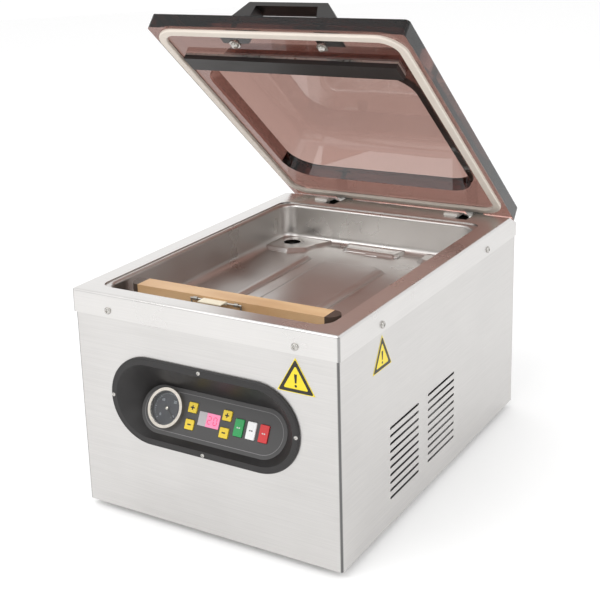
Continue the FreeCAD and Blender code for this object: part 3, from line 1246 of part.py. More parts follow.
def make_works():
    foot_top = pan_top + d.pump_foot
    pump_left = d.pump_split_x - d.pump_width
    pump_spans = (pump_left, d.pump_split_x)
    deep = (d.pump_y - d.pump_deep / 2, d.pump_y + d.pump_deep / 2)
    pump_top = foot_top + d.pump_height
    pump = slab("pump_block", pump_spans, deep, (foot_top, pump_top))
    port = rod("pump_port", d.hose_dia / 2 + d.port_wall, d.port_rise,
               (pump_left + d.pump_width / 4, d.pump_y, pump_top))
    node(join("pump", [pump, port]), "vacuum_pump")
    motor_z = foot_top + d.motor_dia / 2
    motor = rod("motor_can", d.motor_dia / 2, d.motor_length, (d.pump_split_x, d.pump_y, motor_z),
                "x")
    motor_end = d.pump_split_x + d.motor_length
    spindle = rod("motor_spindle", d.motor_shaft / 2, d.fan_gap + d.fan_thick,
                  (motor_end, d.pump_y, motor_z), "x")
    node(join("motor", [motor, spindle]), "pump_motor")
    fan_left = motor_end + d.fan_gap
    hub = rod("fan_hub", d.fan_hub_radius, d.fan_thick, (fan_left, d.pump_y, motor_z), "x")
    blades = [slab("fan_blade_%d" % i, (fan_left, fan_left + d.fan_thick),
                   (d.pump_y - half[0], d.pump_y + half[0]), (motor_z - half[1], motor_z + half[1]))
              for i, half in enumerate(((d.skin, d.fan_dia / 2), (d.fan_dia / 2, d.skin)))]
    bore = rod("fan_bore", (d.motor_shaft + d.fan_bore_gap) / 2, d.fan_thick,
               (fan_left, d.pump_y, motor_z), "x")
    node(cut("fan", join("fan_whole", [hub] + blades), [bore]), "pump_fan")
    feet = []
    for i, x in enumerate((pump_left + d.foot_radius, d.pump_split_x - d.foot_radius)):
        for k, y in enumerate((deep[0] + d.foot_radius, deep[1] - d.foot_radius)):
            feet.append(rod("pump_foot_%d_%d" % (i, k), d.pump_foot_radius, d.pump_foot,
                            (x, y, pan_top)))
    node(group("pump_foot_set", feet), "pump_feet")
    filter_z = pump_top - d.filter_dia / 2
    can = rod("filter_can", d.filter_dia / 2, d.filter_length,
              (d.pump_split_x - d.filter_length, d.filter_y, filter_z), "x")
    link_x = d.pump_split_x - d.filter_length / 2
    link = slab("filter_link", (link_x - d.link_half, link_x + d.link_half),
                (d.filter_y, deep[0]), (filter_z - d.link_half, filter_z + d.link_half))
    node(join("filter", [can, link]), "exhaust_filter")
    hose_x = pump_left + d.pump_width / 4
    hose_low = pump_top + d.port_rise
    make_hose("suction_hose", [
        (hose_x, d.pump_y, hose_low), (hose_x, d.pump_y, hose_low + d.hose_rise),
        (d.port_x, d.port_y, hose_low + d.hose_bend), (d.port_x, d.port_y, tub_under)], d.hose_dia / 2)
    core_x = (d.transformer_x - d.core_width / 2, d.transformer_x + d.core_width / 2)
    core_y = (d.transformer_y - d.core_deep / 2, d.transformer_y + d.core_deep / 2)
    core = slab("core_stack", core_x, core_y, (pan_top, pan_top + d.core_height))
    coil = slab("core_coil", (d.transformer_x - d.core_width / 4, d.transformer_x + d.core_width / 4),
                (core_y[0] - d.coil_grow, core_y[1] + d.coil_grow),
                (pan_top + d.coil_inset, pan_top + d.core_height - d.coil_inset))
    node(join("transformer_whole", [core, coil]), "transformer")
    valve_top = tub_under
    valve = slab("valve_block", (d.valve_x - d.valve_side / 2, d.valve_x + d.valve_side / 2),
                 (d.valve_y - d.valve_side / 2, d.valve_y + d.valve_side / 2),
                 (valve_top - d.valve_side, valve_top))
    solenoid = rod("valve_coil", d.valve_coil_radius, d.valve_side,
                   (d.valve_x, d.valve_y, valve_top - 2 * d.valve_side))
    node(join("valve", [valve, solenoid]), "solenoid_valve")
    rod_side = d.bar_y + d.cylinder_dia / 2
    hose_z = tub_under - d.air_port_drop
    make_hose("air_hose", [
        (-d.rod_x, rod_side, hose_z), (-d.rod_x, rod_side + d.air_hose_front, hose_z),
        (d.valve_x, d.valve_y - d.valve_side / 2 - d.air_hose_rear, tub_under - d.valve_side / 2),
        (d.valve_x, d.valve_y - d.valve_side / 2, tub_under - d.valve_side / 2)],
        d.air_hose_dia / 2)


def make_mains():
    face = casing_back
    outer_x, outer_z = (d.inlet_wide / 2, d.inlet_tall / 2)
    flange = slab("inlet_flange", (d.inlet_x - outer_x, d.inlet_x + outer_x),
                  (face, face + d.frame_rim), (d.inlet_z - outer_z, d.inlet_z + outer_z))
    shell_x, shell_z = socket_half_wide() - d.cut_gap, socket_half_tall() - d.cut_gap
    shell = slab("inlet_shell", (d.inlet_x - shell_x, d.inlet_x + shell_x),
                 (face - d.inlet_deep, face + d.frame_rim),
                 (d.inlet_z - shell_z, d.inlet_z + shell_z))
    room = slab("inlet_room", (d.inlet_x - d.socket_wide / 2, d.inlet_x + d.socket_wide / 2),
                (face + d.frame_rim - d.socket_deep, face + d.frame_rim + 1),
                (d.inlet_z - d.socket_tall / 2, d.inlet_z + d.socket_tall / 2))
    pins = [slab("inlet_pin_%d" % i, (d.inlet_x + x - d.pin_thick / 2, d.inlet_x + x + d.pin_thick / 2),
                 (face - d.inlet_deep, face + d.frame_rim - d.pin_sink),
                 (d.inlet_z + z - d.pin_tall / 2, d.inlet_z + z + d.pin_tall / 2))
            for i, (x, z) in enumerate(((-d.pin_pitch, -d.pin_step), (ZERO, d.pin_step),
                                        (d.pin_pitch, -d.pin_step)))]
    hollow = cut("inlet_hollow", join("inlet_whole", [flange, shell]), [room])
    node(join("inlet", [hollow] + pins), "power_inlet")
    half_x, half_z = d.switch_wide / 2, d.switch_tall / 2
    rim = slab("switch_rim", (d.switch_x - half_x - d.switch_rim, d.switch_x + half_x + d.switch_rim),
               (face, face + d.frame_rim),
                (d.inlet_z - half_z - d.switch_rim, d.inlet_z + half_z + d.switch_rim))
    can = slab("switch_can", (d.switch_x - half_x, d.switch_x + half_x),
               (face - d.switch_deep, face + d.frame_rim),
               (d.inlet_z - half_z, d.inlet_z + half_z))
    gap_x = half_x - d.frame_rim
    gap_z = half_z - d.frame_rim
    well = slab("switch_well", (d.switch_x - gap_x, d.switch_x + gap_x),
                (face - d.switch_deep + d.frame_rim, face + d.frame_rim + 1),
                (d.inlet_z - gap_z, d.inlet_z + gap_z))
    node(cut("switch_body", join("switch_whole", [rim, can]), [well]), "switch_frame")
    make_rocker(gap_x - d.rocker_gap, gap_z - 3 * d.rocker_gap)


def make_rocker(half_x, half_z):
    """A rocker drawn about its pivot, with two sloping faces, and stored tilted to off."""
    body = new_body("rocker_body")
    side = new_sketch(body, "rocker_side", "YZ_Plane")
    face = d.rocker_depth
    lift = half_z * sine(d.rocker_tilt)
    draw_outline(side, [
        (-d.rocker_depth, -d.rocker_waist / 2), (face - lift, -half_z), (face + lift, -half_z),
        (face, 0), (face + lift, half_z), (face - lift, half_z),
        (-d.rocker_depth, d.rocker_waist / 2)])
    pad(body, side, 2 * half_x, both=True)
    place(node(body, "power_rocker"),
          (d.switch_x, casing_back + d.frame_rim - d.rocker_depth, d.inlet_z),
          X_AXIS, -d.rocker_tilt)


# ---------------------------------------------------------------- build and write
def check_all():
    """Stop if any object failed, or if a sub-part has no sound solid."""
    for obj in doc.Objects:
        if "Invalid" in obj.State or "Error" in obj.State:
            raise ValueError("%s failed: %s" % (obj.Name, obj.State))
    for obj in NODES:
        if obj.Shape.isNull() or not obj.Shape.isValid() or not obj.Shape.Solids:
            raise ValueError(obj.Label + " has no sound shape")


def write_parts():
    os.makedirs("parts", exist_ok=True)
    for obj in NODES:
        obj.Shape.exportStep("parts/%s.step" % obj.Label)


make_base_pan()
make_feet()
make_casing_wrap()
make_rear_panel()
make_rear_screws()
make_deck()
make_cover_screws()
make_signs()
make_tub()
make_seal_bar()
make_bag_clip()
make_lid_window()
make_gasket()
make_counter_bar()
make_handle()
make_hinge_arms()
make_hinge_fixings()
make_bezel()
make_panel()
make_gauge()
make_works()
make_mains()
doc.recompute()
check_all()
write_parts()
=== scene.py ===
"""Looks for the chamber vacuum packing machine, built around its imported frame."""

import math

import bmesh
import bpy
from bpy.props import FloatProperty, FloatVectorProperty, IntProperty, PointerProperty
from mathutils import Matrix, Vector


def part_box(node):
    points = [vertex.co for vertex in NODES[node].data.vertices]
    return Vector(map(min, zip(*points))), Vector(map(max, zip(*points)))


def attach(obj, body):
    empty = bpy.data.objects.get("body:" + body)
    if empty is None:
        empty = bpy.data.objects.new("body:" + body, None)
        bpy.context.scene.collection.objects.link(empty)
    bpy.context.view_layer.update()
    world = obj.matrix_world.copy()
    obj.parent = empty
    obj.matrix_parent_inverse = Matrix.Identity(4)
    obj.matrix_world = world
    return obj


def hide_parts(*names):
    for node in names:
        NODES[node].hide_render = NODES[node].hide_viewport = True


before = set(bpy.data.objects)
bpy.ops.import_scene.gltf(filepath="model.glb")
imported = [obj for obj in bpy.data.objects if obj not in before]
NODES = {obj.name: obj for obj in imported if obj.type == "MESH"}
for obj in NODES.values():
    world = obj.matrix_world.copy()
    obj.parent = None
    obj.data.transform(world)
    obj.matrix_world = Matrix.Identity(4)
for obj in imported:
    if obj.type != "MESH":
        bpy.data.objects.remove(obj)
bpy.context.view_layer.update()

bl_info = {
    "name": "Vacuum Packing Machine",
    "version": (1, 0, 0),
    "blender": (4, 5, 0),
    "location": "3D View > Sidebar > Packer",
    "description": "Finishes and fine parts of a table-top chamber vacuum packing machine",
    "category": "Object",
}

MM = 0.001


# ---------------------------------------------------------------- colours and nodes
def linear(code, alpha=True):
    """An sRGB hex colour as linear numbers."""
    parts = [int(code[i:i + 2], 16) / 255 for i in (0, 2, 4)]
    parts = [p / 12.92 if p <= 0.04045 else ((p + 0.055) / 1.055) ** 2.4 for p in parts]
    return parts + [1.0] if alpha else parts


def add(tree, kind, inputs=(), **settings):
    """Add one node, set its fields, and set or link its inputs by name or number."""
    made = tree.nodes.new(kind)
    for field, value in settings.items():
        setattr(made, field, value)
    for key, value in dict(inputs).items():
        socket = made.inputs[key]
        if isinstance(value, bpy.types.NodeSocket):
            tree.links.new(value, socket)
        else:
            socket.default_value = value
    return made


def start_finish(name):
    finish = bpy.data.materials.new(name)
    finish.use_nodes = True
    tree = finish.node_tree
    tree.nodes.clear()
    where = add(tree, "ShaderNodeTexCoord").outputs["Object"]
    return finish, tree, where


def end_finish(tree, surface, volume=None):
    out = add(tree, "ShaderNodeOutputMaterial", {"Surface": surface.outputs[0]})
    if volume:
        tree.links.new(volume.outputs[0], out.inputs["Volume"])


def grain(tree, where, size, detail=2.0, stretch=(1, 1, 1)):
    """Cloudy grain whose features are about size metres across, longer along small stretches."""
    scaled = add(tree, "ShaderNodeVectorMath", {0: where, 1: [s / size for s in stretch]},
                 operation="MULTIPLY").outputs[0]
    return add(tree, "ShaderNodeTexNoise", {"Vector": scaled, "Scale": 1.0,
                                            "Detail": detail}).outputs["Fac"]


def spread(tree, amount, low, high):
    """Stretch a 0.3 to 0.7 grain to run from low to high."""
    return add(tree, "ShaderNodeMapRange", {"Value": amount, "From Min": 0.3, "From Max": 0.7,
                                            "To Min": low, "To Max": high}).outputs["Result"]


def blend_colours(tree, amount, first, second):
    return add(tree, "ShaderNodeMix", {0: amount, 6: first, 7: second},
               data_type="RGBA").outputs[2]


# ---------------------------------------------------------------- finishes
def brushed_sheet(name, light, dark, roughness, line, streak, along, relief=0.12, bend_shade=0.0):
    """Cold-rolled stainless sheet, belt-brushed: fine long scratches along one direction of
    each wall, which blur reflections and leave faint light and dark streaks.
    Real scratches are 0.05 mm apart and are drawn at line metres, so that they show.
    The upright bends get painted shade: their colour is darkened towards a dark grey by the amount
    bend_shade, standing for the dark reflection in each bend."""
    finish, tree, where = start_finish(name)
    facing = add(tree, "ShaderNodeNewGeometry").outputs["Normal"]
    facing = add(tree, "ShaderNodeVectorMath", {0: facing}, operation="ABSOLUTE").outputs[0]
    split = add(tree, "ShaderNodeSeparateXYZ", {0: facing})
    side = add(tree, "ShaderNodeMath", {0: split.outputs["X"], 1: 0.7},
               operation="GREATER_THAN").outputs[0]
    # painted shade: where the normal faces diagonally between x and y, on the upright bends, the
    # colour is darkened towards 4A4A4B for the dark reflection in the bend
    turned = add(tree, "ShaderNodeMath", {0: split.outputs["X"], 1: split.outputs["Y"]},
                 operation="MULTIPLY").outputs[0]
    turned = add(tree, "ShaderNodeMapRange", {"Value": turned, "From Min": 0.1,
                                              "From Max": 0.4, "To Max": bend_shade}).outputs["Result"]
    short, long = 1 / line, 1 / streak
    front_way = (long, short, short) if along == "x" else (short, long, short)
    ways = add(tree, "ShaderNodeMix", {0: side, 4: front_way, 5: (short, long, short)},
               data_type="VECTOR").outputs[1]
    laid = add(tree, "ShaderNodeVectorMath", {0: where, 1: ways}, operation="MULTIPLY")
    lines = add(tree, "ShaderNodeTexNoise", {"Vector": laid.outputs[0], "Scale": 1.0,
                                             "Detail": 3.0}).outputs["Fac"]
    cloud = grain(tree, where, 0.09, 3.0)
    tint = add(tree, "ShaderNodeMath", {0: lines, 1: cloud}, operation="ADD").outputs[0]
    tint = add(tree, "ShaderNodeMapRange", {"Value": tint, "From Min": 0.7, "From Max": 1.3}
               ).outputs["Result"]
    gloss = add(tree, "ShaderNodeMapRange",
                {"Value": cloud, "From Min": 0.3, "From Max": 0.7,
                 "To Min": roughness - 0.05, "To Max": roughness + 0.05}).outputs["Result"]
    bump = add(tree, "ShaderNodeBump", {"Height": lines, "Strength": relief, "Distance": 0.0002})
    tone = blend_colours(tree, tint, linear(dark), linear(light))
    shader = add(tree, "ShaderNodeBsdfPrincipled", {
        # the bends' painted shade is mixed in here
        "Base Color": blend_colours(tree, turned, tone, linear("4A4A4B")),
        "Metallic": 1.0, "Roughness": gloss, "Normal": bump.outputs[0]})
    end_finish(tree, shader)
    return finish


def bright_metal(name, light, dark, roughness, mark, relief=0.05):
    """Plated or polished metal: smooth, with faint handling marks about mark metres across."""
    finish, tree, where = start_finish(name)
    marks = grain(tree, where, mark, 4.0)
    bump = add(tree, "ShaderNodeBump", {"Height": marks, "Strength": relief, "Distance": 0.0001})
    shader = add(tree, "ShaderNodeBsdfPrincipled", {
        "Base Color": blend_colours(tree, marks, linear(dark), linear(light)), "Metallic": 1.0,
        "Roughness": spread(tree, marks, roughness * 0.7, roughness * 1.3),
        "Normal": bump.outputs[0]})
    end_finish(tree, shader)
    return finish


def moulded(name, light, dark, roughness, texture, relief=0.2, ior=1.5, coat=0.0, glow=None):
    """A moulded, printed or cast surface: an even colour with a fine spark-eroded or cast
    texture, texture metres across, and slightly uneven gloss."""
    finish, tree, where = start_finish(name)
    fine = grain(tree, where, texture, 2.0)
    cloud = grain(tree, where, 0.05, 3.0)
    bump = add(tree, "ShaderNodeBump", {"Height": fine, "Strength": relief,
                                        "Distance": texture * 0.3})
    shader = add(tree, "ShaderNodeBsdfPrincipled", {
        "Base Color": blend_colours(tree, cloud, linear(dark), linear(light)),
        "Roughness": spread(tree, cloud, roughness - 0.06, roughness + 0.06),
        "IOR": ior, "Coat Weight": coat, "Normal": bump.outputs[0]})
    # glow makes the surface give light: true for the display's lit red strokes, and painted light
    # on the pink film over them
    if glow:
        shader.inputs["Emission Color"].default_value = linear(glow[0])
        shader.inputs["Emission Strength"].default_value = glow[1]
    end_finish(tree, shader)
    return finish


def tinted_acrylic():
    """Cast acrylic (PMMA), bronze tinted and flame polished: clear, with the colour in its
    depth, so the faces look light brown and the long way through the edges looks black."""
    finish, tree, where = start_finish("bronze cast acrylic")
    wipe = grain(tree, where, 0.02, 4.0, (1, 0.3, 1))
    ripple = grain(tree, where, 0.06, 1.0)
    bump = add(tree, "ShaderNodeBump", {"Height": ripple, "Strength": 0.3, "Distance": 0.0006})
    shader = add(tree, "ShaderNodeBsdfPrincipled", {
        "Base Color": linear("BFA39A"), "Transmission Weight": 1.0, "IOR": 1.49,
        "Roughness": spread(tree, wipe, 0.0, 0.03), "Normal": bump.outputs[0]})
    depth = add(tree, "ShaderNodeVolumeAbsorption",
                {"Color": linear("B98A7C"), "Density": 50.0})
    end_finish(tree, shader, depth)
    return finish


def clear_glass():
    """Flat pressed soda-lime glass over the dial."""
    finish, tree, where = start_finish("clear dial glass")
    smear = grain(tree, where, 0.012, 3.0)
    shader = add(tree, "ShaderNodeBsdfPrincipled", {
        "Base Color": (1, 1, 1, 1), "Transmission Weight": 1.0, "IOR": 1.5,
        "Roughness": spread(tree, smear, 0.0, 0.06)})
    end_finish(tree, shader)
    return finish


def coated_cloth():
    """PTFE-coated glass cloth, tan: a plain weave under a waxy coat, thread spacing 0.5 mm,
    drawn at 1 mm so that it shows."""
    finish, tree, where = start_finish("ptfe glass cloth")
    apart = add(tree, "ShaderNodeSeparateXYZ", {0: where})
    threads = []
    for axis in "XY":
        turns = add(tree, "ShaderNodeMath", {0: apart.outputs[axis], 1: math.tau / 0.001},
                    operation="MULTIPLY").outputs[0]
        threads.append(add(tree, "ShaderNodeMath", {0: turns}, operation="SINE").outputs[0])
    weave = add(tree, "ShaderNodeMath", {0: threads[0], 1: threads[1]},
                operation="MULTIPLY").outputs[0]
    stain = grain(tree, where, 0.03, 3.0, (0.3, 1, 1))
    bump = add(tree, "ShaderNodeBump", {"Height": weave, "Strength": 0.25, "Distance": 0.00008})
    shader = add(tree, "ShaderNodeBsdfPrincipled", {
        "Base Color": blend_colours(tree, spread(tree, stain, 0, 1), linear("C9A074"),
                                    linear("E2BE93")),
        "Roughness": spread(tree, stain, 0.38, 0.5), "IOR": 1.38, "Normal": bump.outputs[0]})
    end_finish(tree, shader)
    return finish


# ---------------------------------------------------------------- mesh helpers
def finish_mesh(work, name, smooth=False):
    """Turn a worked bmesh into a mesh, and free it."""
    for face in work.faces:
        face.smooth = smooth
    mesh = bpy.data.meshes.new(name)
    work.to_mesh(mesh)
    work.free()
    return mesh


def new_object(name, data):
    made = bpy.data.objects.new(name, data)
    bpy.context.scene.collection.objects.link(made)
    return made


def new_piece(name, mesh, body, finish=None):
    """Put a finished mesh in the scene on a body, with its material slot."""
    piece = new_object(name, mesh)
    if finish:
        mesh.materials.clear()
        mesh.materials.append(finish)
    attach(piece, body)
    return piece


def prism_mesh(name, outlines, thick, place):
    """Flat plates from closed outlines of (x, y) points, thick towards +z, put by place."""
    work = bmesh.new()
    for outline in outlines:
        low = [work.verts.new((x, y, 0)) for x, y in outline]
        high = [work.verts.new((x, y, thick)) for x, y in outline]
        work.faces.new(low[::-1])
        work.faces.new(high)
        for i in range(len(outline)):
            k = (i + 1) % len(outline)
            work.faces.new((low[i], low[k], high[k], high[i]))
    bmesh.ops.recalc_face_normals(work, faces=work.faces)
    work.transform(place)
    return finish_mesh(work, name)


def band_mesh(name, outer, inner, thick, place):
    """A flat ring between two outlines with the same number of points."""
    work = bmesh.new()
    rows = [[work.verts.new((x, y, z)) for x, y in line]
            for line, z in ((outer, 0), (outer, thick), (inner, thick), (inner, 0))]
    count = len(outer)
    for row in range(4):
        for i in range(count):
            k = (i + 1) % count
            work.faces.new((rows[row][i], rows[row][k], rows[(row + 1) % 4][k],
                            rows[(row + 1) % 4][i]))
    bmesh.ops.recalc_face_normals(work, faces=work.faces)
    work.transform(place)
    return finish_mesh(work, name)


def stadium(length, tall, steps=24):
    """Points round a stadium lying along x, centred on the origin."""
    radius, run = tall / 2, (length - tall) / 2
    points = []
    for side in (1, -1):
        for i in range(steps + 1):
            turn = math.pi * (i / steps - 0.5)
            points.append((side * (run + radius * math.cos(turn)),
                           side * radius * math.sin(turn)))
    return points


def bar(x, y, wide, tall):
    return [(x - wide / 2, y - tall / 2), (x + wide / 2, y - tall / 2),
            (x + wide / 2, y + tall / 2), (x - wide / 2, y + tall / 2)]


def span(node, place):
    """Lowest and highest corner of a node in a turned frame's own directions."""
    back = place.inverted()
    points = [back @ v.co for v in NODES[node].data.vertices]
    return [Vector([pick(p[i] for p in points) for i in range(3)]) for pick in (min, max)]


def paint(finish, *names):
    for name in names:
        mesh = NODES[name].data
        mesh.materials.clear()
        mesh.materials.append(finish)


def plain_mesh(source, name):
    """The evaluated mesh of an object that still has a modifier."""
    seen = source.evaluated_get(bpy.context.evaluated_depsgraph_get())
    mesh = bpy.data.meshes.new_from_object(seen)
    mesh.name = name
    return mesh


# the control panel: how far it leans back from upright, in degrees, and its thickness
PANEL_TILT, PANEL_SHEET = 28, 3 * MM


def panel_frame():
    """The sloping control panel: x along it, y up the slope, z out of its front face."""
    low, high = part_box("control_panel")
    turn = Matrix.Rotation(math.radians(90 - PANEL_TILT), 4, "X")
    half_sheet = Vector((0, 0, PANEL_SHEET / 2))
    return Matrix.Translation((low + high) / 2 + turn @ half_sheet) @ turn


# ---------------------------------------------------------------- sizes and colours
class PackerSizes(bpy.types.PropertyGroup):
    recess: FloatProperty(name="Screw recess", description="Depth of the cross recess",
                          default=1.1 * MM, unit="LENGTH", precision=5)
    ridge: FloatProperty(name="Bezel ridge", description="Radius of the bezel's raised line",
                         default=0.35 * MM, unit="LENGTH", precision=5)
    print_height: FloatProperty(name="Print height", description="Thickness of printed marks",
                                default=0.12 * MM, unit="LENGTH", precision=5)
    tick_count: IntProperty(name="Dial ticks", description="Marks round the vacuum dial",
                            default=31)
    press_step: FloatProperty(name="Pressing step", default=1.5,
                              description="Spacing of the pressed floor's points in mm")
    key_strength: FloatProperty(name="Key light", description="Power of the main light",
                                default=45.0, unit="POWER")
    fill_strength: FloatProperty(name="Fill light", description="Power of the side light",
                                 default=16.0, unit="POWER")


class PackerColours(bpy.types.PropertyGroup):
    backdrop: FloatVectorProperty(name="Backdrop", description="Floor and surroundings",
                                  subtype="COLOR", size=4, default=linear("FAFAFA"))


# ---------------------------------------------------------------- groups of pieces
class PACKER_OT_sheet_metal(bpy.types.Operator):
    """Finish the casing, deck, chamber and other sheet-metal parts"""
    bl_idname = "packer.sheet_metal"
    bl_label = "Sheet metal"

    def execute(self, context):
        # the last number of each brushed sheet sets how dark its upright bends are painted, as
        # painted shade
        paint(brushed_sheet("brushed stainless casing", "D4D2D0", "CAC8C6", 0.36, 0.9 * MM,
                            60 * MM, "x", 0.06, 0.85), "casing_wrap", "rear_panel", "base_pan")
        paint(brushed_sheet("brushed stainless deck", "DAD8D6", "D2D0CE", 0.3, 0.8 * MM,
                            60 * MM, "x", 0.06, 0.6), "deck_cover")
        satin = bright_metal("drawn satin stainless", "CFCCC9", "C6C3C0", 0.34, 70 * MM, 0.0)
        paint(satin, "chamber_tub")
        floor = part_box("chamber_tub")[0].z + TUB_SHEET * MM
        new_piece("tub_pressings", pressings_mesh(floor, context.scene.packer_sizes.press_step),
                  "casing", satin)
        paint(bright_metal("zinc-plated bracket steel", "B9B7B2", "98958F", 0.38, 6 * MM),
              "hinge_arms", "hinge_brackets", "clip_eyelets")
        paint(bright_metal("nickel-plated steel", "CFCCC6", "A5A29D", 0.22, 3 * MM),
              "foot_screws", "handle_bolts", "arm_bolts", "clip_wire", "lift_rods",
              "hinge_shaft", "torsion_springs")
        return {"FINISHED"}


# the tub, in millimetres: its sheet, where the flat floor ends at the sides and the rear, the
# radius it turns up with, and the suction port's place and clear radius
TUB_SHEET = 1.5
FLAT_HALF, FLAT_REAR, FOOT_RADIUS = 128.9, 164.9, 10.0
PORT_X, PORT_Y, PORT_CLEAR = -112.0, 146.0, 9.8
# how far the pressed sheet reaches to the sides, front and rear, how thick it is drawn, and
# how deep it may run under the tub's own foot
REACH_SIDE, REACH_FRONT, REACH_REAR = 138, 166, 176
PRESSED_THICK, PRESSED_HIDDEN, LEAST_RISE = 0.9, 0.6, 0.02
# outlines of the pressings in the tub's floor, then their height and the width of their slope
PRESSINGS = (
    ([(-71.7, -156), (-57.3, -156), (-57.3, 104), (-71.7, 104)], 4.4, 4.5, 4.0),
    ([(38.3, -156), (52.7, -156), (52.7, 90), (38.3, 90)], 4.4, 4.5, 4.0),
    ([(-36, 147), (38, 144.5), (47, 178), (60, 205), (-60, 205), (-46, 178)], 5.0, 4.6, 5.0),
    ([(-160, 117), (-100, 110), (-79, 126), (-74, 146), (-57, 178), (-57, 205), (-160, 205)],
     9.0, 4.6, 6.0),
    ([(66, 178), (68, 150), (76, 140), (160, 136), (160, 205), (64, 205)], 7.0, 4.6, 6.0),
    ([(-38, -160), (45, -160), (45, 96), (30, 104), (-38, 99)], 1.0, 0.7, 2.0),
)


def outline_distance(x, y, outline):
    """Distance from a point to a closed outline, negative inside it."""
    near, inside = math.inf, False
    for (ax, ay), (bx, by) in zip(outline, outline[1:] + outline[:1]):
        ex, ey, px, py = bx - ax, by - ay, x - ax, y - ay
        part = min(1.0, max(0.0, (px * ex + py * ey) / (ex * ex + ey * ey)))
        near = min(near, math.hypot(px - ex * part, py - ey * part))
        if (ay > y) != (by > y) and x < ex * (y - ay) / ey + ax:
            inside = not inside
    return -near if inside else near


def pressed_height(x, y):
    """How far the tub's floor stands up at a point, in millimetres."""
    tallest = 0.0
    for outline, corner, height, slope in PRESSINGS:
        inward = -outline_distance(x, y, outline) / slope
        part = min(1.0, max(0.0, inward))
        tallest = max(tallest, height * part * part * (3 - 2 * part))
    return tallest


def fillet_height(x, y):
    """Height of the tub's own rounded foot above its floor, in millimetres."""
    out = math.hypot(max(0.0, abs(x) - FLAT_HALF), max(0.0, y - FLAT_REAR))
    return FOOT_RADIUS - math.sqrt(max(0.0, FOOT_RADIUS ** 2 - out * out))


def pressings_mesh(floor, step):
    """The pressed areas of the tub's floor as one closed sheet, thin where it meets the floor."""
    across = range(int(-REACH_SIDE / step), int(REACH_SIDE / step) + 1)
    along = range(int(-REACH_FRONT / step), int(REACH_REAR / step) + 1)
    tops = {(i, k): pressed_height(i * step, k * step) for i in across for k in along}

    def shown(i, k):
        corners = [(i, k), (i + 1, k), (i + 1, k + 1), (i, k + 1)]
        if any(c not in tops for c in corners):
            return False
        from_port = math.hypot((i + 0.5) * step - PORT_X, (k + 0.5) * step - PORT_Y)
        if from_port < PORT_CLEAR + step:
            return False
        return any(tops[c] > LEAST_RISE for c in corners) and any(
            tops[c] > fillet_height(c[0] * step, c[1] * step) - PRESSED_HIDDEN for c in corners)
    cells = [(i, k) for i in across for k in along if shown(i, k)]
    work = bmesh.new()
    made = {}

    def corner(i, k, under):
        if (i, k, under) not in made:
            z = floor + (tops[i, k] - (PRESSED_THICK if under else 0.0)) * MM
            made[i, k, under] = work.verts.new((i * step * MM, k * step * MM, z))
        return made[i, k, under]
    kept = set(cells)
    for i, k in cells:
        ring = [(i, k), (i + 1, k), (i + 1, k + 1), (i, k + 1)]
        work.faces.new([corner(*c, False) for c in ring])
        work.faces.new([corner(*c, True) for c in reversed(ring)])
        for (a, b), beside in zip(zip(ring, ring[1:] + ring[:1]),
                                  ((i, k - 1), (i + 1, k), (i, k + 1), (i - 1, k))):
            if beside not in kept:
                work.faces.new((corner(*a, True), corner(*b, True), corner(*b, False),
                                corner(*a, False)))
    return finish_mesh(work, "tub_pressings", smooth=True)


class PACKER_OT_screws(bpy.types.Operator):
    """Replace the plain screw heads with cross-recessed pan heads"""
    bl_idname = "packer.screws"
    bl_label = "Screws"

    def execute(self, context):
        steel = bright_metal("bright screw steel", "D5D3CF", "A8A5A0", 0.2, 2 * MM)
        head = screw_head(context.scene.packer_sizes.recess)
        tree = screw_tree(steel)
        for node, width in (("cover_screws", SCREW_HEAD), ("rear_screws", SCREW_HEAD),
                            ("bezel_screws", BEZEL_HEAD)):
            spots, ways = screw_places(node)
            mesh = bpy.data.meshes.new(node + "_spots")
            mesh.from_pydata(spots, [], [])
            facing = mesh.attributes.new("facing", "FLOAT_VECTOR", "POINT")
            facing.data.foreach_set("vector", [c for way in ways for c in way])
            made = grown_mesh(mesh, tree, {"Head": head, "Head width": width}, node + "_heads")
            piece = new_piece(node + "_heads", made, "casing")
            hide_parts(node)
        bpy.data.objects.remove(head)
        return {"FINISHED"}


def grown_mesh(points, tree, given, name):
    """Run a Geometry Nodes tree on a mesh of points, and keep what it makes as a plain mesh."""
    holder = new_object(name + "_source", points)
    maker = holder.modifiers.new("Nodes", "NODES")
    maker.node_group = tree
    for item in tree.interface.items_tree:
        if item.name in given:
            maker[item.identifier] = given[item.name]
    made = plain_mesh(holder, name)
    bpy.data.objects.remove(holder)
    return made


SCREW_HEAD, BEZEL_HEAD = 8 * MM, 4.6 * MM


def screw_places(node):
    """Where each screw head meets its sheet, and the way it faces, from the node's solids."""
    work = bmesh.new()
    work.from_mesh(NODES[node].data)
    bmesh.ops.remove_doubles(work, verts=work.verts, dist=1e-5)
    left, spots, ways = set(work.verts), [], []
    while left:
        group, todo = set(), [left.pop()]
        while todo:
            vert = todo.pop()
            group.add(vert)
            for edge in vert.link_edges:
                other = edge.other_vert(vert)
                if other in left:
                    left.remove(other)
                    todo.append(other)
        points = [v.co for v in group]
        low = Vector([min(p[i] for p in points) for i in range(3)])
        high = Vector([max(p[i] for p in points) for i in range(3)])
        size = high - low
        axis = max(range(2), key=lambda i: abs(size[i] - size[2]))
        middle = (low + high) / 2
        way = Vector((0, 0, 0))
        way[axis] = 1 if middle[axis] > 0 else -1
        spot = middle.copy()
        spot[axis] = high[axis] if way[axis] > 0 else low[axis]
        spots.append(spot)
        ways.append(way)
    work.free()
    return spots, ways


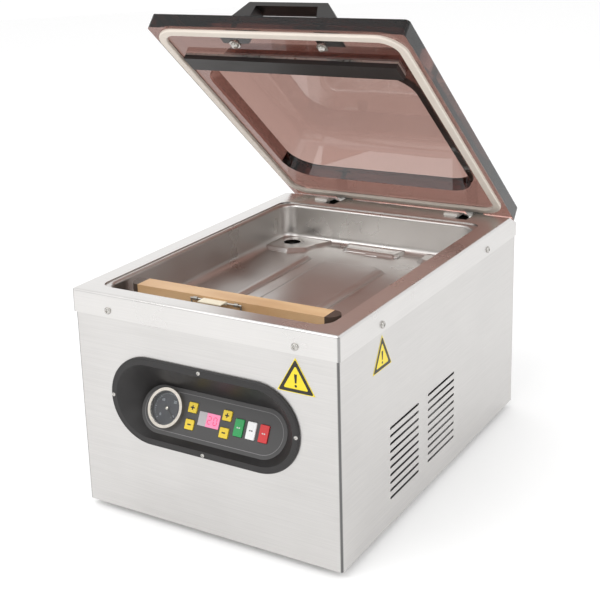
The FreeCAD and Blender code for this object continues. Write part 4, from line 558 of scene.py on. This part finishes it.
def screw_head(recess):
    """A pan head one unit wide, its crown at the origin, with a cross recess."""
    work = bmesh.new()
    profile = [(0.0, 0.0), (0.2, -0.012), (0.34, -0.04), (0.44, -0.09), (0.49, -0.17),
               (0.5, -0.24), (0.5, -0.30), (0.25, -0.301), (0.25, -0.8), (0.0, -0.8)]
    points = [work.verts.new((x, 0, z)) for x, z in profile]
    edges = [work.edges.new(pair) for pair in zip(points, points[1:])]
    bmesh.ops.spin(work, geom=points + edges, cent=(0, 0, 0), axis=(0, 0, 1),
                   angle=math.tau, steps=32)
    bmesh.ops.remove_doubles(work, verts=work.verts, dist=1e-5)
    bmesh.ops.recalc_face_normals(work, faces=work.faces)
    head = new_object("screw_head", finish_mesh(work, "screw_head"))
    work = bmesh.new()
    deep = recess / SCREW_HEAD
    for wide, tall in ((0.62, 0.12), (0.12, 0.62)):
        corners = []
        for z, small in ((0.1, 1.0), (-deep, 0.55)):
            corners += [work.verts.new((x * wide / 2 * small, y * tall / 2, z))
                        if wide > tall else
                        work.verts.new((x * wide / 2, y * tall / 2 * small, z))
                        for x, y in ((-1, -1), (1, -1), (1, 1), (-1, 1))]
        work.faces.new(corners[:4])
        work.faces.new(corners[4:][::-1])
        for i in range(4):
            k = (i + 1) % 4
            work.faces.new((corners[i], corners[4 + i], corners[4 + k], corners[k]))
    bmesh.ops.recalc_face_normals(work, faces=work.faces)
    cross = new_object("cross_recess", finish_mesh(work, "cross_recess"))
    cut = head.modifiers.new("Cut", "BOOLEAN")
    cut.operation = "DIFFERENCE"
    cut.object = cross
    cut.use_self = True
    done = plain_mesh(head, "screw_head_cut")
    head.modifiers.clear()
    head.data = done
    bpy.data.objects.remove(cross)
    return head


def screw_tree(finish):
    """Geometry Nodes: a screw head on each point, facing out, each turned its own way."""
    tree = bpy.data.node_groups.new("Screw heads", "GeometryNodeTree")
    tree.interface.new_socket("Geometry", in_out="INPUT", socket_type="NodeSocketGeometry")
    tree.interface.new_socket("Head", in_out="INPUT", socket_type="NodeSocketObject")
    tree.interface.new_socket("Head width", in_out="INPUT", socket_type="NodeSocketFloat")
    tree.interface.new_socket("Geometry", in_out="OUTPUT", socket_type="NodeSocketGeometry")
    given = add(tree, "NodeGroupInput").outputs
    head = add(tree, "GeometryNodeObjectInfo", {"Object": given["Head"]}).outputs["Geometry"]
    facing = add(tree, "GeometryNodeInputNamedAttribute", {"Name": "facing"},
                 data_type="FLOAT_VECTOR").outputs["Attribute"]
    stand = add(tree, "FunctionNodeAlignRotationToVector", {"Vector": facing}, axis="Z")
    turn = add(tree, "FunctionNodeRandomValue", {2: 0.0, 3: math.tau, "Seed": 7},
               data_type="FLOAT").outputs[1]
    spin = add(tree, "FunctionNodeAxisAngleToRotation", {"Axis": (0, 0, 1), "Angle": turn})
    both = add(tree, "FunctionNodeRotateRotation",
               {"Rotation": stand.outputs[0], "Rotate By": spin.outputs[0]},
               rotation_space="LOCAL")
    heads = add(tree, "GeometryNodeInstanceOnPoints",
                {"Points": given["Geometry"], "Instance": head, "Rotation": both.outputs[0],
                 "Scale": given["Head width"]})
    whole = add(tree, "GeometryNodeRealizeInstances", {"Geometry": heads.outputs[0]})
    coat = add(tree, "GeometryNodeSetMaterial",
               {"Geometry": whole.outputs[0], "Material": finish})
    add(tree, "NodeGroupOutput", {"Geometry": coat.outputs[0]})
    return tree


class PACKER_OT_lid(bpy.types.Operator):
    """Finish the acrylic lid, its gasket, counter bar and handle"""
    bl_idname = "packer.lid"
    bl_label = "Lid"

    def execute(self, context):
        paint(tinted_acrylic(), "lid_window")
        paint(moulded("white silicone gasket", "E6DDD2", "D8CDC1", 0.5, 1.5 * MM, 0.1, 1.41),
              "lid_gasket")
        paint(moulded("black silicone counter bar", "2A2524", "1D1A19", 0.42, 1 * MM, 0.1, 1.41),
              "counter_bar")
        paint(bright_metal("anodised aluminium channel", "C4C2BE", "A9A7A3", 0.35, 4 * MM),
              "counter_bar_channel")
        paint(moulded("black moulded handle", "2B2827", "211F1E", 0.4, 0.8 * MM, 0.25),
              "lid_handle")
        paint(moulded("white nylon", "F0EEE8", "E2DFD8", 0.4, 1 * MM, 0.1, 1.53),
              "hinge_pads")
        return {"FINISHED"}


class PACKER_OT_sealing_bar(bpy.types.Operator):
    """Finish the sealing bar, its tape, end caps and bag clip"""
    bl_idname = "packer.sealing_bar"
    bl_label = "Sealing bar"

    def execute(self, context):
        paint(coated_cloth(), "ptfe_cover")
        paint(bright_metal("anodised aluminium bar", "C9C7C3", "ADABA6", 0.32, 4 * MM),
              "seal_bar_beam", "lift_cylinders", "solenoid_valve")
        paint(bright_metal("nichrome strip", "9E9891", "7D766F", 0.35, 2 * MM), "heating_strip")
        paint(moulded("dark phenolic end cap", "55443A", "3F332C", 0.5, 0.7 * MM, 0.2),
              "bar_end_caps")
        paint(moulded("cream nylon plate", "F1E7CF", "E4D9BF", 0.42, 1 * MM, 0.1, 1.53),
              "clip_plate")
        return {"FINISHED"}


class PACKER_OT_controls(bpy.types.Operator):
    """Finish the control bezel, panel, keys, display and vacuum gauge"""
    bl_idname = "packer.controls"
    bl_label = "Controls"

    def execute(self, context):
        sizes = context.scene.packer_sizes
        black = moulded("black abs bezel", "252323", "1C1A1A", 0.44, 0.7 * MM, 0.25)
        paint(black, "control_bezel")
        paint(moulded("grey-black overlay film", "4B4A4A", "424141", 0.5, 0.5 * MM, 0.15),
              "control_panel")
        paint(moulded("black gauge case", "1E1D1D", "161515", 0.4, 0.7 * MM), "gauge_case",
              "gauge_needle")
        paint(bright_metal("chromed gauge ring", "F4EEE4", "E2DACE", 0.12, 4 * MM), "gauge_ring")
        paint(moulded("blue-black dial enamel", "343A44", "2A2F38", 0.3, 0.6 * MM, 0.05),
              "gauge_dial")
        paint(clear_glass(), "gauge_lens")
        yellow = moulded("yellow key film", "E9CE3C", "DDBE34", 0.38, 0.5 * MM, 0.1)
        keys = {"key_plus_left": "plus", "key_plus_right": "plus", "key_minus_left": "minus",
                "key_minus_right": "minus", "key_green": "dash", "key_white": "dash",
                "key_red": "dash"}
        for node in keys:
            if keys[node] != "dash":
                paint(yellow, node)
        paint(moulded("green key film", "2FA05A", "27914F", 0.38, 0.5 * MM, 0.1), "key_green")
        paint(moulded("white key film", "EFEFEF", "E2E2E2", 0.38, 0.5 * MM, 0.1), "key_white")
        paint(moulded("red key film", "D8383A", "C42E31", 0.38, 0.5 * MM, 0.1), "key_red")
        # the pink film gets a faint even glow: painted light, since the film itself is no lamp
        paint(moulded("pink display film", "EE8FB2", "E684A8", 0.3, 1 * MM, 0.02,
                      glow=("FF7FAA", 0.15)), "display_window")
        place = panel_frame()
        display_marks(place, sizes.print_height)
        dial_marks(place, sizes)
        ink = moulded("dark printed ink", "2B2620", "221E1A", 0.5, 0.4 * MM, 0.1)
        pale_ink = moulded("pale printed ink", "D9D9D6", "C9C9C6", 0.5, 0.4 * MM, 0.1)
        for node, mark in keys.items():
            low, high = span(node, place)
            x, y = (low.x + high.x) / 2, (low.y + high.y) / 2
            marks = {"plus": [bar(x, y, 5 * MM, 1.4 * MM), bar(x, y + 1.6 * MM, 1.4 * MM, 1.8 * MM),
                              bar(x, y - 1.6 * MM, 1.4 * MM, 1.8 * MM)],
                     "minus": [bar(x, y, 4.4 * MM, 1.4 * MM)],
                     "dash": [bar(x - 1.2 * MM, y, 1.6 * MM, 1.3 * MM),
                              bar(x + 1.2 * MM, y, 1.6 * MM, 1.3 * MM)]}[mark]
            lift = place @ Matrix.Translation((0, 0, high.z - 0.02 * MM))
            mesh = prism_mesh(node + "_mark", marks, sizes.print_height, lift)
            tone = pale_ink if node in ("key_green", "key_red") else ink
            new_piece(node + "_mark", mesh, node + "_body", tone)
        low, high = span("control_panel", place)
        length, tall = high.x - low.x, high.y - low.y
        edge, line = 6 * MM, 0.5 * MM
        mesh = band_mesh("panel_line", stadium(length - 2 * edge, tall - 2 * edge),
                         stadium(length - 2 * edge - 2 * line, tall - 2 * edge - 2 * line),
                         sizes.print_height, place @ Matrix.Translation((0, 0, -0.02 * MM)))
        new_piece("panel_line", mesh, "casing",
                  moulded("grey printed line", "8D8B8C", "7E7C7D", 0.5, 0.4 * MM, 0.1))
        low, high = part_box("control_bezel")
        ring = bpy.data.curves.new("bezel_ridge", "CURVE")
        ring.dimensions = "3D"
        ring.bevel_depth = sizes.ridge
        ring.bevel_resolution = 2
        spline = ring.splines.new("POLY")
        inset = 1.8 * MM
        points = stadium(high.x - low.x - 2 * inset, high.z - low.z - 2 * inset, 40)
        spline.points.add(len(points) - 1)
        middle = (low.z + high.z) / 2
        for point, (x, z) in zip(spline.points, points):
            point.co = (x, low.y + 0.1 * MM, middle + z, 1)
        spline.use_cyclic_u = True
        holder = new_object("bezel_ridge_line", ring)
        mesh = plain_mesh(holder, "bezel_ridge")
        bpy.data.objects.remove(holder)
        new_piece("bezel_ridge", mesh, "casing", black)
        return {"FINISHED"}


# a seven-stroke digit, in millimetres: each stroke's centre, length and height
STROKES = {"a": (0, 4, 3, 0.8), "b": (2, 2, 0.8, 3), "c": (2, -2, 0.8, 3), "d": (0, -4, 3, 0.8),
           "e": (-2, -2, 0.8, 3), "f": (-2, 2, 0.8, 3), "g": (0, 0, 3, 0.8)}


def display_marks(place, thick):
    """The display's clear left third, and two digits of seven strokes each on the rest."""
    low, high = span("display_window", place)
    lift = place @ Matrix.Translation((0, 0, high.z - 0.02 * MM))
    wide, middle = high.x - low.x, (low.y + high.y) / 2
    third = bar(low.x + wide * 0.19, middle, wide * 0.38, high.y - low.y)
    new_piece("display_blank", prism_mesh("display_blank", [third], thick, lift), "casing",
              moulded("clear grey display film", "BDB9BB", "ABA7A9", 0.3,
                                     1 * MM, 0.02))
    strokes = []
    for lit, centre in (("abged", 0.52), ("abcdef", 0.80)):
        x = low.x + wide * centre
        for sx, sy, long, tall in (STROKES[stroke] for stroke in STROKES if stroke in lit):
            strokes.append(bar(x + sx * MM, middle + sy * MM, long * MM, tall * MM))
    new_piece("display_digits", prism_mesh("display_digits", strokes, thick, lift), "casing",
              moulded("red display stroke", "E0406A", "D03860", 0.3, 1 * MM,
                                     0.02, glow=("FF3A65", 0.3)))


# how far out on the dial the ticks and the numbers sit, and the numbers' height
TICK_REACH, NUMBER_REACH, NUMBER_SIZE = 0.86, 0.6, 4.2 * MM
# the needle's bright cap: its radius, how flat it is, and how far it stands off the dial
CAP_RADIUS, CAP_FLATNESS, CAP_RISE = 1.9 * MM, 0.35, 2.1 * MM


def dial_marks(place, sizes):
    """Ticks, numbers and a bright hub on the vacuum dial."""
    low, high = span("gauge_dial", place)
    middle, radius = (low + high) / 2, (high.x - low.x) / 2
    white = moulded("white dial print", "DDE3EA", "CCD3DA", 0.5, 0.4 * MM, 0.05)
    tree = tick_tree(white)
    spot = bpy.data.meshes.new("dial_spot")
    spot.from_pydata([(0, 0, 0)], [], [])
    made = grown_mesh(spot, tree, {"Count": sizes.tick_count, "Radius": radius * TICK_REACH,
                                   "Thickness": sizes.print_height}, "dial_ticks")
    top = place @ Matrix.Translation((middle.x, middle.y, high.z - 0.02 * MM))
    made.transform(top)
    new_piece("dial_ticks", made, "casing")
    work = bmesh.new()
    for number in range(4):
        turn = math.radians(225 - 90 * number)
        letter = bpy.data.curves.new("dial_number", "FONT")
        letter.body = str(number * 10)
        letter.size = NUMBER_SIZE
        letter.align_x, letter.align_y = "CENTER", "CENTER"
        letter.extrude = sizes.print_height / 2
        holder = new_object("dial_number", letter)
        flat = plain_mesh(holder, "dial_number")
        bpy.data.objects.remove(holder)
        reach = radius * NUMBER_REACH
        flat.transform(top @ Matrix.Translation((reach * math.cos(turn), reach * math.sin(turn),
                                                 sizes.print_height / 2)))
        work.from_mesh(flat)
        bpy.data.meshes.remove(flat)
    bmesh.ops.remove_doubles(work, verts=work.verts, dist=1e-7)
    bmesh.ops.recalc_face_normals(work, faces=work.faces)
    new_piece("dial_numbers", finish_mesh(work, "dial_numbers"), "casing", white)
    work = bmesh.new()
    bmesh.ops.create_uvsphere(work, u_segments=24, v_segments=12, radius=CAP_RADIUS,
                              matrix=Matrix.Diagonal((1, 1, CAP_FLATNESS, 1)))
    work.transform(place @ Matrix.Translation((middle.x, middle.y, high.z + CAP_RISE)))
    new_piece("needle_cap", finish_mesh(work, "needle_cap", smooth=True), "needle",
              bright_metal("polished brass hub", "EDEAE2", "D8D2C4", 0.15, 1 * MM))


def tick_tree(finish):
    """Geometry Nodes: short bars round a three-quarter circle, every fifth one longer."""
    tree = bpy.data.node_groups.new("Dial ticks", "GeometryNodeTree")
    tree.interface.new_socket("Geometry", in_out="INPUT", socket_type="NodeSocketGeometry")
    tree.interface.new_socket("Count", in_out="INPUT", socket_type="NodeSocketInt")
    tree.interface.new_socket("Radius", in_out="INPUT", socket_type="NodeSocketFloat")
    tree.interface.new_socket("Thickness", in_out="INPUT", socket_type="NodeSocketFloat")
    tree.interface.new_socket("Geometry", in_out="OUTPUT", socket_type="NodeSocketGeometry")
    given = add(tree, "NodeGroupInput").outputs
    arc = add(tree, "GeometryNodeCurveArc", {
        "Resolution": given["Count"], "Radius": given["Radius"],
        "Start Angle": math.radians(-45), "Sweep Angle": math.radians(270)}, mode="RADIUS")
    size = add(tree, "ShaderNodeCombineXYZ", {0: 2.4 * MM, 1: 0.5 * MM, 2: given["Thickness"]})
    tick = add(tree, "GeometryNodeMeshCube", {"Size": size.outputs[0]})
    place = add(tree, "GeometryNodeInputPosition")
    facing = add(tree, "FunctionNodeAlignRotationToVector", {"Vector": place.outputs[0]},
                 axis="X")
    index = add(tree, "GeometryNodeInputIndex")
    fifth = add(tree, "FunctionNodeIntegerMath", {0: index.outputs[0], 1: 5},
                operation="MODULO").outputs[0]
    small = add(tree, "FunctionNodeCompare", {2: fifth, 3: 0}, data_type="INT",
                operation="GREATER_THAN").outputs[0]
    scale = add(tree, "GeometryNodeSwitch", {"Switch": small, "False": (1.0, 1.0, 1.0),
                                             "True": (0.5, 0.8, 1.0)}, input_type="VECTOR")
    ticks = add(tree, "GeometryNodeInstanceOnPoints", {
        "Points": arc.outputs[0], "Instance": tick.outputs[0], "Rotation": facing.outputs[0],
        "Scale": scale.outputs[0]})
    whole = add(tree, "GeometryNodeRealizeInstances", {"Geometry": ticks.outputs[0]})
    coat = add(tree, "GeometryNodeSetMaterial", {"Geometry": whole.outputs[0],
                                                 "Material": finish})
    add(tree, "NodeGroupOutput", {"Geometry": coat.outputs[0]})
    return tree


class PACKER_OT_signs(bpy.types.Operator):
    """Give the two triangular plates a border and a plain mark"""
    bl_idname = "packer.signs"
    bl_label = "Signs"

    def execute(self, context):
        sizes = context.scene.packer_sizes
        paint(moulded("yellow vinyl film", "F2DC2E", "E8D022", 0.35, 0.8 * MM, 0.08),
              "caution_plates")
        ink = moulded("black vinyl ink", "26241C", "1E1C16", 0.4, 0.6 * MM, 0.1)
        low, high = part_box("caution_plates")
        tall = high.z - low.z
        side = tall * 2 / math.sqrt(3)
        middle = high.z - tall * 2 / 3
        front_x = low.x + side / 2
        side_y = high.y - side / 2
        places = (Matrix.Translation((front_x, low.y, middle)) @ Matrix.Rotation(
                      math.pi / 2, 4, "X"),
                  Matrix.Translation((high.x, side_y, middle)) @ Matrix.Rotation(
                      math.pi / 2, 4, "Z") @ Matrix.Rotation(math.pi / 2, 4, "X"))
        for name, place in zip(("front_sign", "side_sign"), places):
            place = place @ Matrix.Translation((0, 0, -0.02 * MM))
            outer = triangle(side - 2.6 * MM)
            inner = triangle(side - 2.6 * MM - 3.4 * MM * 2 * math.sqrt(3))
            border = band_mesh(name + "_border", outer, inner, sizes.print_height, place)
            new_piece(name + "_border", border, "casing", ink)
            stem = [(-0.9 * MM, -2 * MM), (0.9 * MM, -2 * MM), (1.7 * MM, 7.5 * MM),
                    (-1.7 * MM, 7.5 * MM)]
            dot = [(1.4 * MM * math.cos(i * math.tau / 16),
                    -5 * MM + 1.4 * MM * math.sin(i * math.tau / 16)) for i in range(16)]
            mark = prism_mesh(name + "_mark", [stem, dot], sizes.print_height, place)
            new_piece(name + "_mark", mark, "casing", ink)
        return {"FINISHED"}


def triangle(side, corner=1.2 * MM, steps=5):
    """A triangle standing on its base, centred on its centroid, with rounded corners."""
    points = []
    reach = side / math.sqrt(3) - 2 * corner
    for k in range(3):
        middle = math.pi / 2 + k * math.tau / 3
        for i in range(steps + 1):
            turn = middle + math.tau / 3 * (i / steps - 0.5)
            points.append((reach * math.cos(middle) + corner * math.cos(turn),
                           reach * math.sin(middle) + corner * math.sin(turn)))
    return points


class PACKER_OT_works(bpy.types.Operator):
    """Finish the feet, mains fittings, pump and other parts inside the casing"""
    bl_idname = "packer.works"
    bl_label = "Works"

    def execute(self, context):
        paint(moulded("black nitrile rubber", "242322", "1A1919", 0.65, 1.2 * MM, 0.3, 1.52),
              "rubber_feet", "pump_feet", "suction_hose", "air_hose")
        paint(moulded("black nylon fitting", "262525", "1C1B1B", 0.4, 0.7 * MM), "switch_frame",
              "power_inlet", "power_rocker")
        paint(moulded("grey cast iron enamel", "5C666B", "4C5559", 0.5, 2 * MM, 0.4),
              "vacuum_pump")
        paint(moulded("blue motor paint", "2E4A6B", "263F5C", 0.4, 1.5 * MM, 0.2), "pump_motor")
        paint(moulded("black fan nylon", "2A2A2A", "1F1F1F", 0.45, 0.8 * MM), "pump_fan")
        paint(moulded("white filter paint", "D8D8D4", "C6C6C2", 0.4, 1.5 * MM, 0.1),
              "exhaust_filter")
        paint(bright_metal("laminated core steel", "8B8680", "5F5B56", 0.5, 1 * MM, 0.3),
              "transformer")
        paint(moulded("green board lacquer", "1F5B3A", "184A2E", 0.3, 1 * MM), "control_board")
        return {"FINISHED"}


# the soft lights: where each one stands and how wide it is, in metres
KEY_PLACE, KEY_WIDTH = (-0.7, -2.4, 2.7), 2.6
FILL_PLACE, FILL_WIDTH = (2.4, -1.2, 1.9), 2.0
# the camera: lens in mm, shift, where it stands, and its azimuth, elevation and roll
EYE_LENS, EYE_SHIFT = 71.08, (0.1133, -0.1233)
EYE_PLACE, EYE_ANGLES = (0.6649, -1.1665, 0.6703), (33.609, 15.674, -2.494)


class PACKER_OT_stage(bpy.types.Operator):
    """Add the floor, the soft lights and the camera"""
    bl_idname = "packer.stage"
    bl_label = "Stage"

    def execute(self, context):
        scene = context.scene
        finish, tree, where = start_finish("pale studio floor")
        speck = grain(tree, where, 0.004, 2.0)
        shader = add(tree, "ShaderNodeBsdfPrincipled", {
            "Base Color": blend_colours(tree, speck, linear("F7F7F7"), linear("FAFAFA")),
            "Roughness": 0.9, "Emission Color": scene.packer_colours.backdrop,
            "Emission Strength": 0.08})
        end_finish(tree, shader)
        work = bmesh.new()
        bmesh.ops.create_circle(work, cap_ends=True, segments=64, radius=6.0)
        mesh = finish_mesh(work, "studio_floor")
        mesh.materials.append(finish)
        floor = new_object("studio_floor", mesh)
        world = bpy.data.worlds.new("soft studio")
        world.use_nodes = True
        tree = world.node_tree
        tree.nodes.clear()
        way = add(tree, "ShaderNodeTexCoord").outputs["Generated"]
        toward = add(tree, "ShaderNodeVectorMath", {0: way, 1: (-0.51, 0.86, 0.0)},
                     operation="DOT_PRODUCT").outputs["Value"]
        soft = add(tree, "ShaderNodeMapRange", {"Value": toward, "From Min": -1.0, "To Min": 0.7,
                                                "To Max": 1.25}).outputs["Result"]
        seen = add(tree, "ShaderNodeLightPath").outputs["Is Camera Ray"]
        power = add(tree, "ShaderNodeMix", {0: seen, 2: soft, 3: 1.1}).outputs[0]
        sky = add(tree, "ShaderNodeBackground",
                  {"Color": scene.packer_colours.backdrop, "Strength": power})
        add(tree, "ShaderNodeOutputWorld", {"Surface": sky.outputs[0]})
        scene.world = world
        key, fill = scene.packer_sizes.key_strength, scene.packer_sizes.fill_strength
        for name, spot, size, power in (("key_light", KEY_PLACE, KEY_WIDTH, key),
                                        ("fill_light", FILL_PLACE, FILL_WIDTH, fill)):
            lamp = bpy.data.lights.new(name, "AREA")
            lamp.shape = "SQUARE"
            lamp.size = size
            lamp.energy = power
            holder = new_object(name, lamp)
            aim = Vector((0, 0, 0.2)) - Vector(spot)
            holder.matrix_world = Matrix.Translation(spot) @ aim.to_track_quat(
                "-Z", "Y").to_matrix().to_4x4()
        lens = bpy.data.cameras.new("camera")
        lens.sensor_width = 36.0
        lens.lens = EYE_LENS
        lens.shift_x, lens.shift_y = EYE_SHIFT
        lens.clip_end = 50.0
        eye = new_object("camera", lens)
        side, rise, roll = (math.radians(a) for a in EYE_ANGLES)
        back = Vector((math.sin(side) * math.cos(rise), -math.cos(side) * math.cos(rise),
                       math.sin(rise)))
        right = Vector((0, 0, 1)).cross(back).normalized()
        up = back.cross(right)
        cosine, sine = math.cos(roll), math.sin(roll)
        turned = Matrix((cosine * right + sine * up, cosine * up - sine * right, back))
        eye.matrix_world = Matrix.Translation(EYE_PLACE) @ turned.transposed(
            ).to_4x4()
        scene.camera = eye
        scene.view_settings.view_transform = "Standard"
        return {"FINISHED"}


class PACKER_PT_panel(bpy.types.Panel):
    """Sizes, colours and the steps that finish the machine"""
    bl_idname = "PACKER_PT_panel"
    bl_label = "Vacuum packer"
    bl_space_type = "VIEW_3D"
    bl_region_type = "UI"
    bl_category = "Packer"

    def draw(self, context):
        for group in (context.scene.packer_sizes, context.scene.packer_colours):
            for name in group.__annotations__:
                self.layout.prop(group, name)
        for step in STEPS:
            self.layout.operator(step.bl_idname)


STEPS = (PACKER_OT_sheet_metal, PACKER_OT_screws, PACKER_OT_lid, PACKER_OT_sealing_bar,
         PACKER_OT_controls, PACKER_OT_signs, PACKER_OT_works, PACKER_OT_stage)
CLASSES = (PackerSizes, PackerColours) + STEPS + (PACKER_PT_panel,)


def register():
    for kind in CLASSES:
        bpy.utils.register_class(kind)
    bpy.types.Scene.packer_sizes = PointerProperty(type=PackerSizes)
    bpy.types.Scene.packer_colours = PointerProperty(type=PackerColours)


def unregister():
    del bpy.types.Scene.packer_colours
    del bpy.types.Scene.packer_sizes
    for kind in reversed(CLASSES):
        bpy.utils.unregister_class(kind)


def main():
    register()
    for step in STEPS:
        group, name = step.bl_idname.split(".")
        if getattr(getattr(bpy.ops, group), name)() != {"FINISHED"}:
            raise RuntimeError(step.bl_label + " could not be finished")


if __name__ == "__main__":
    main()
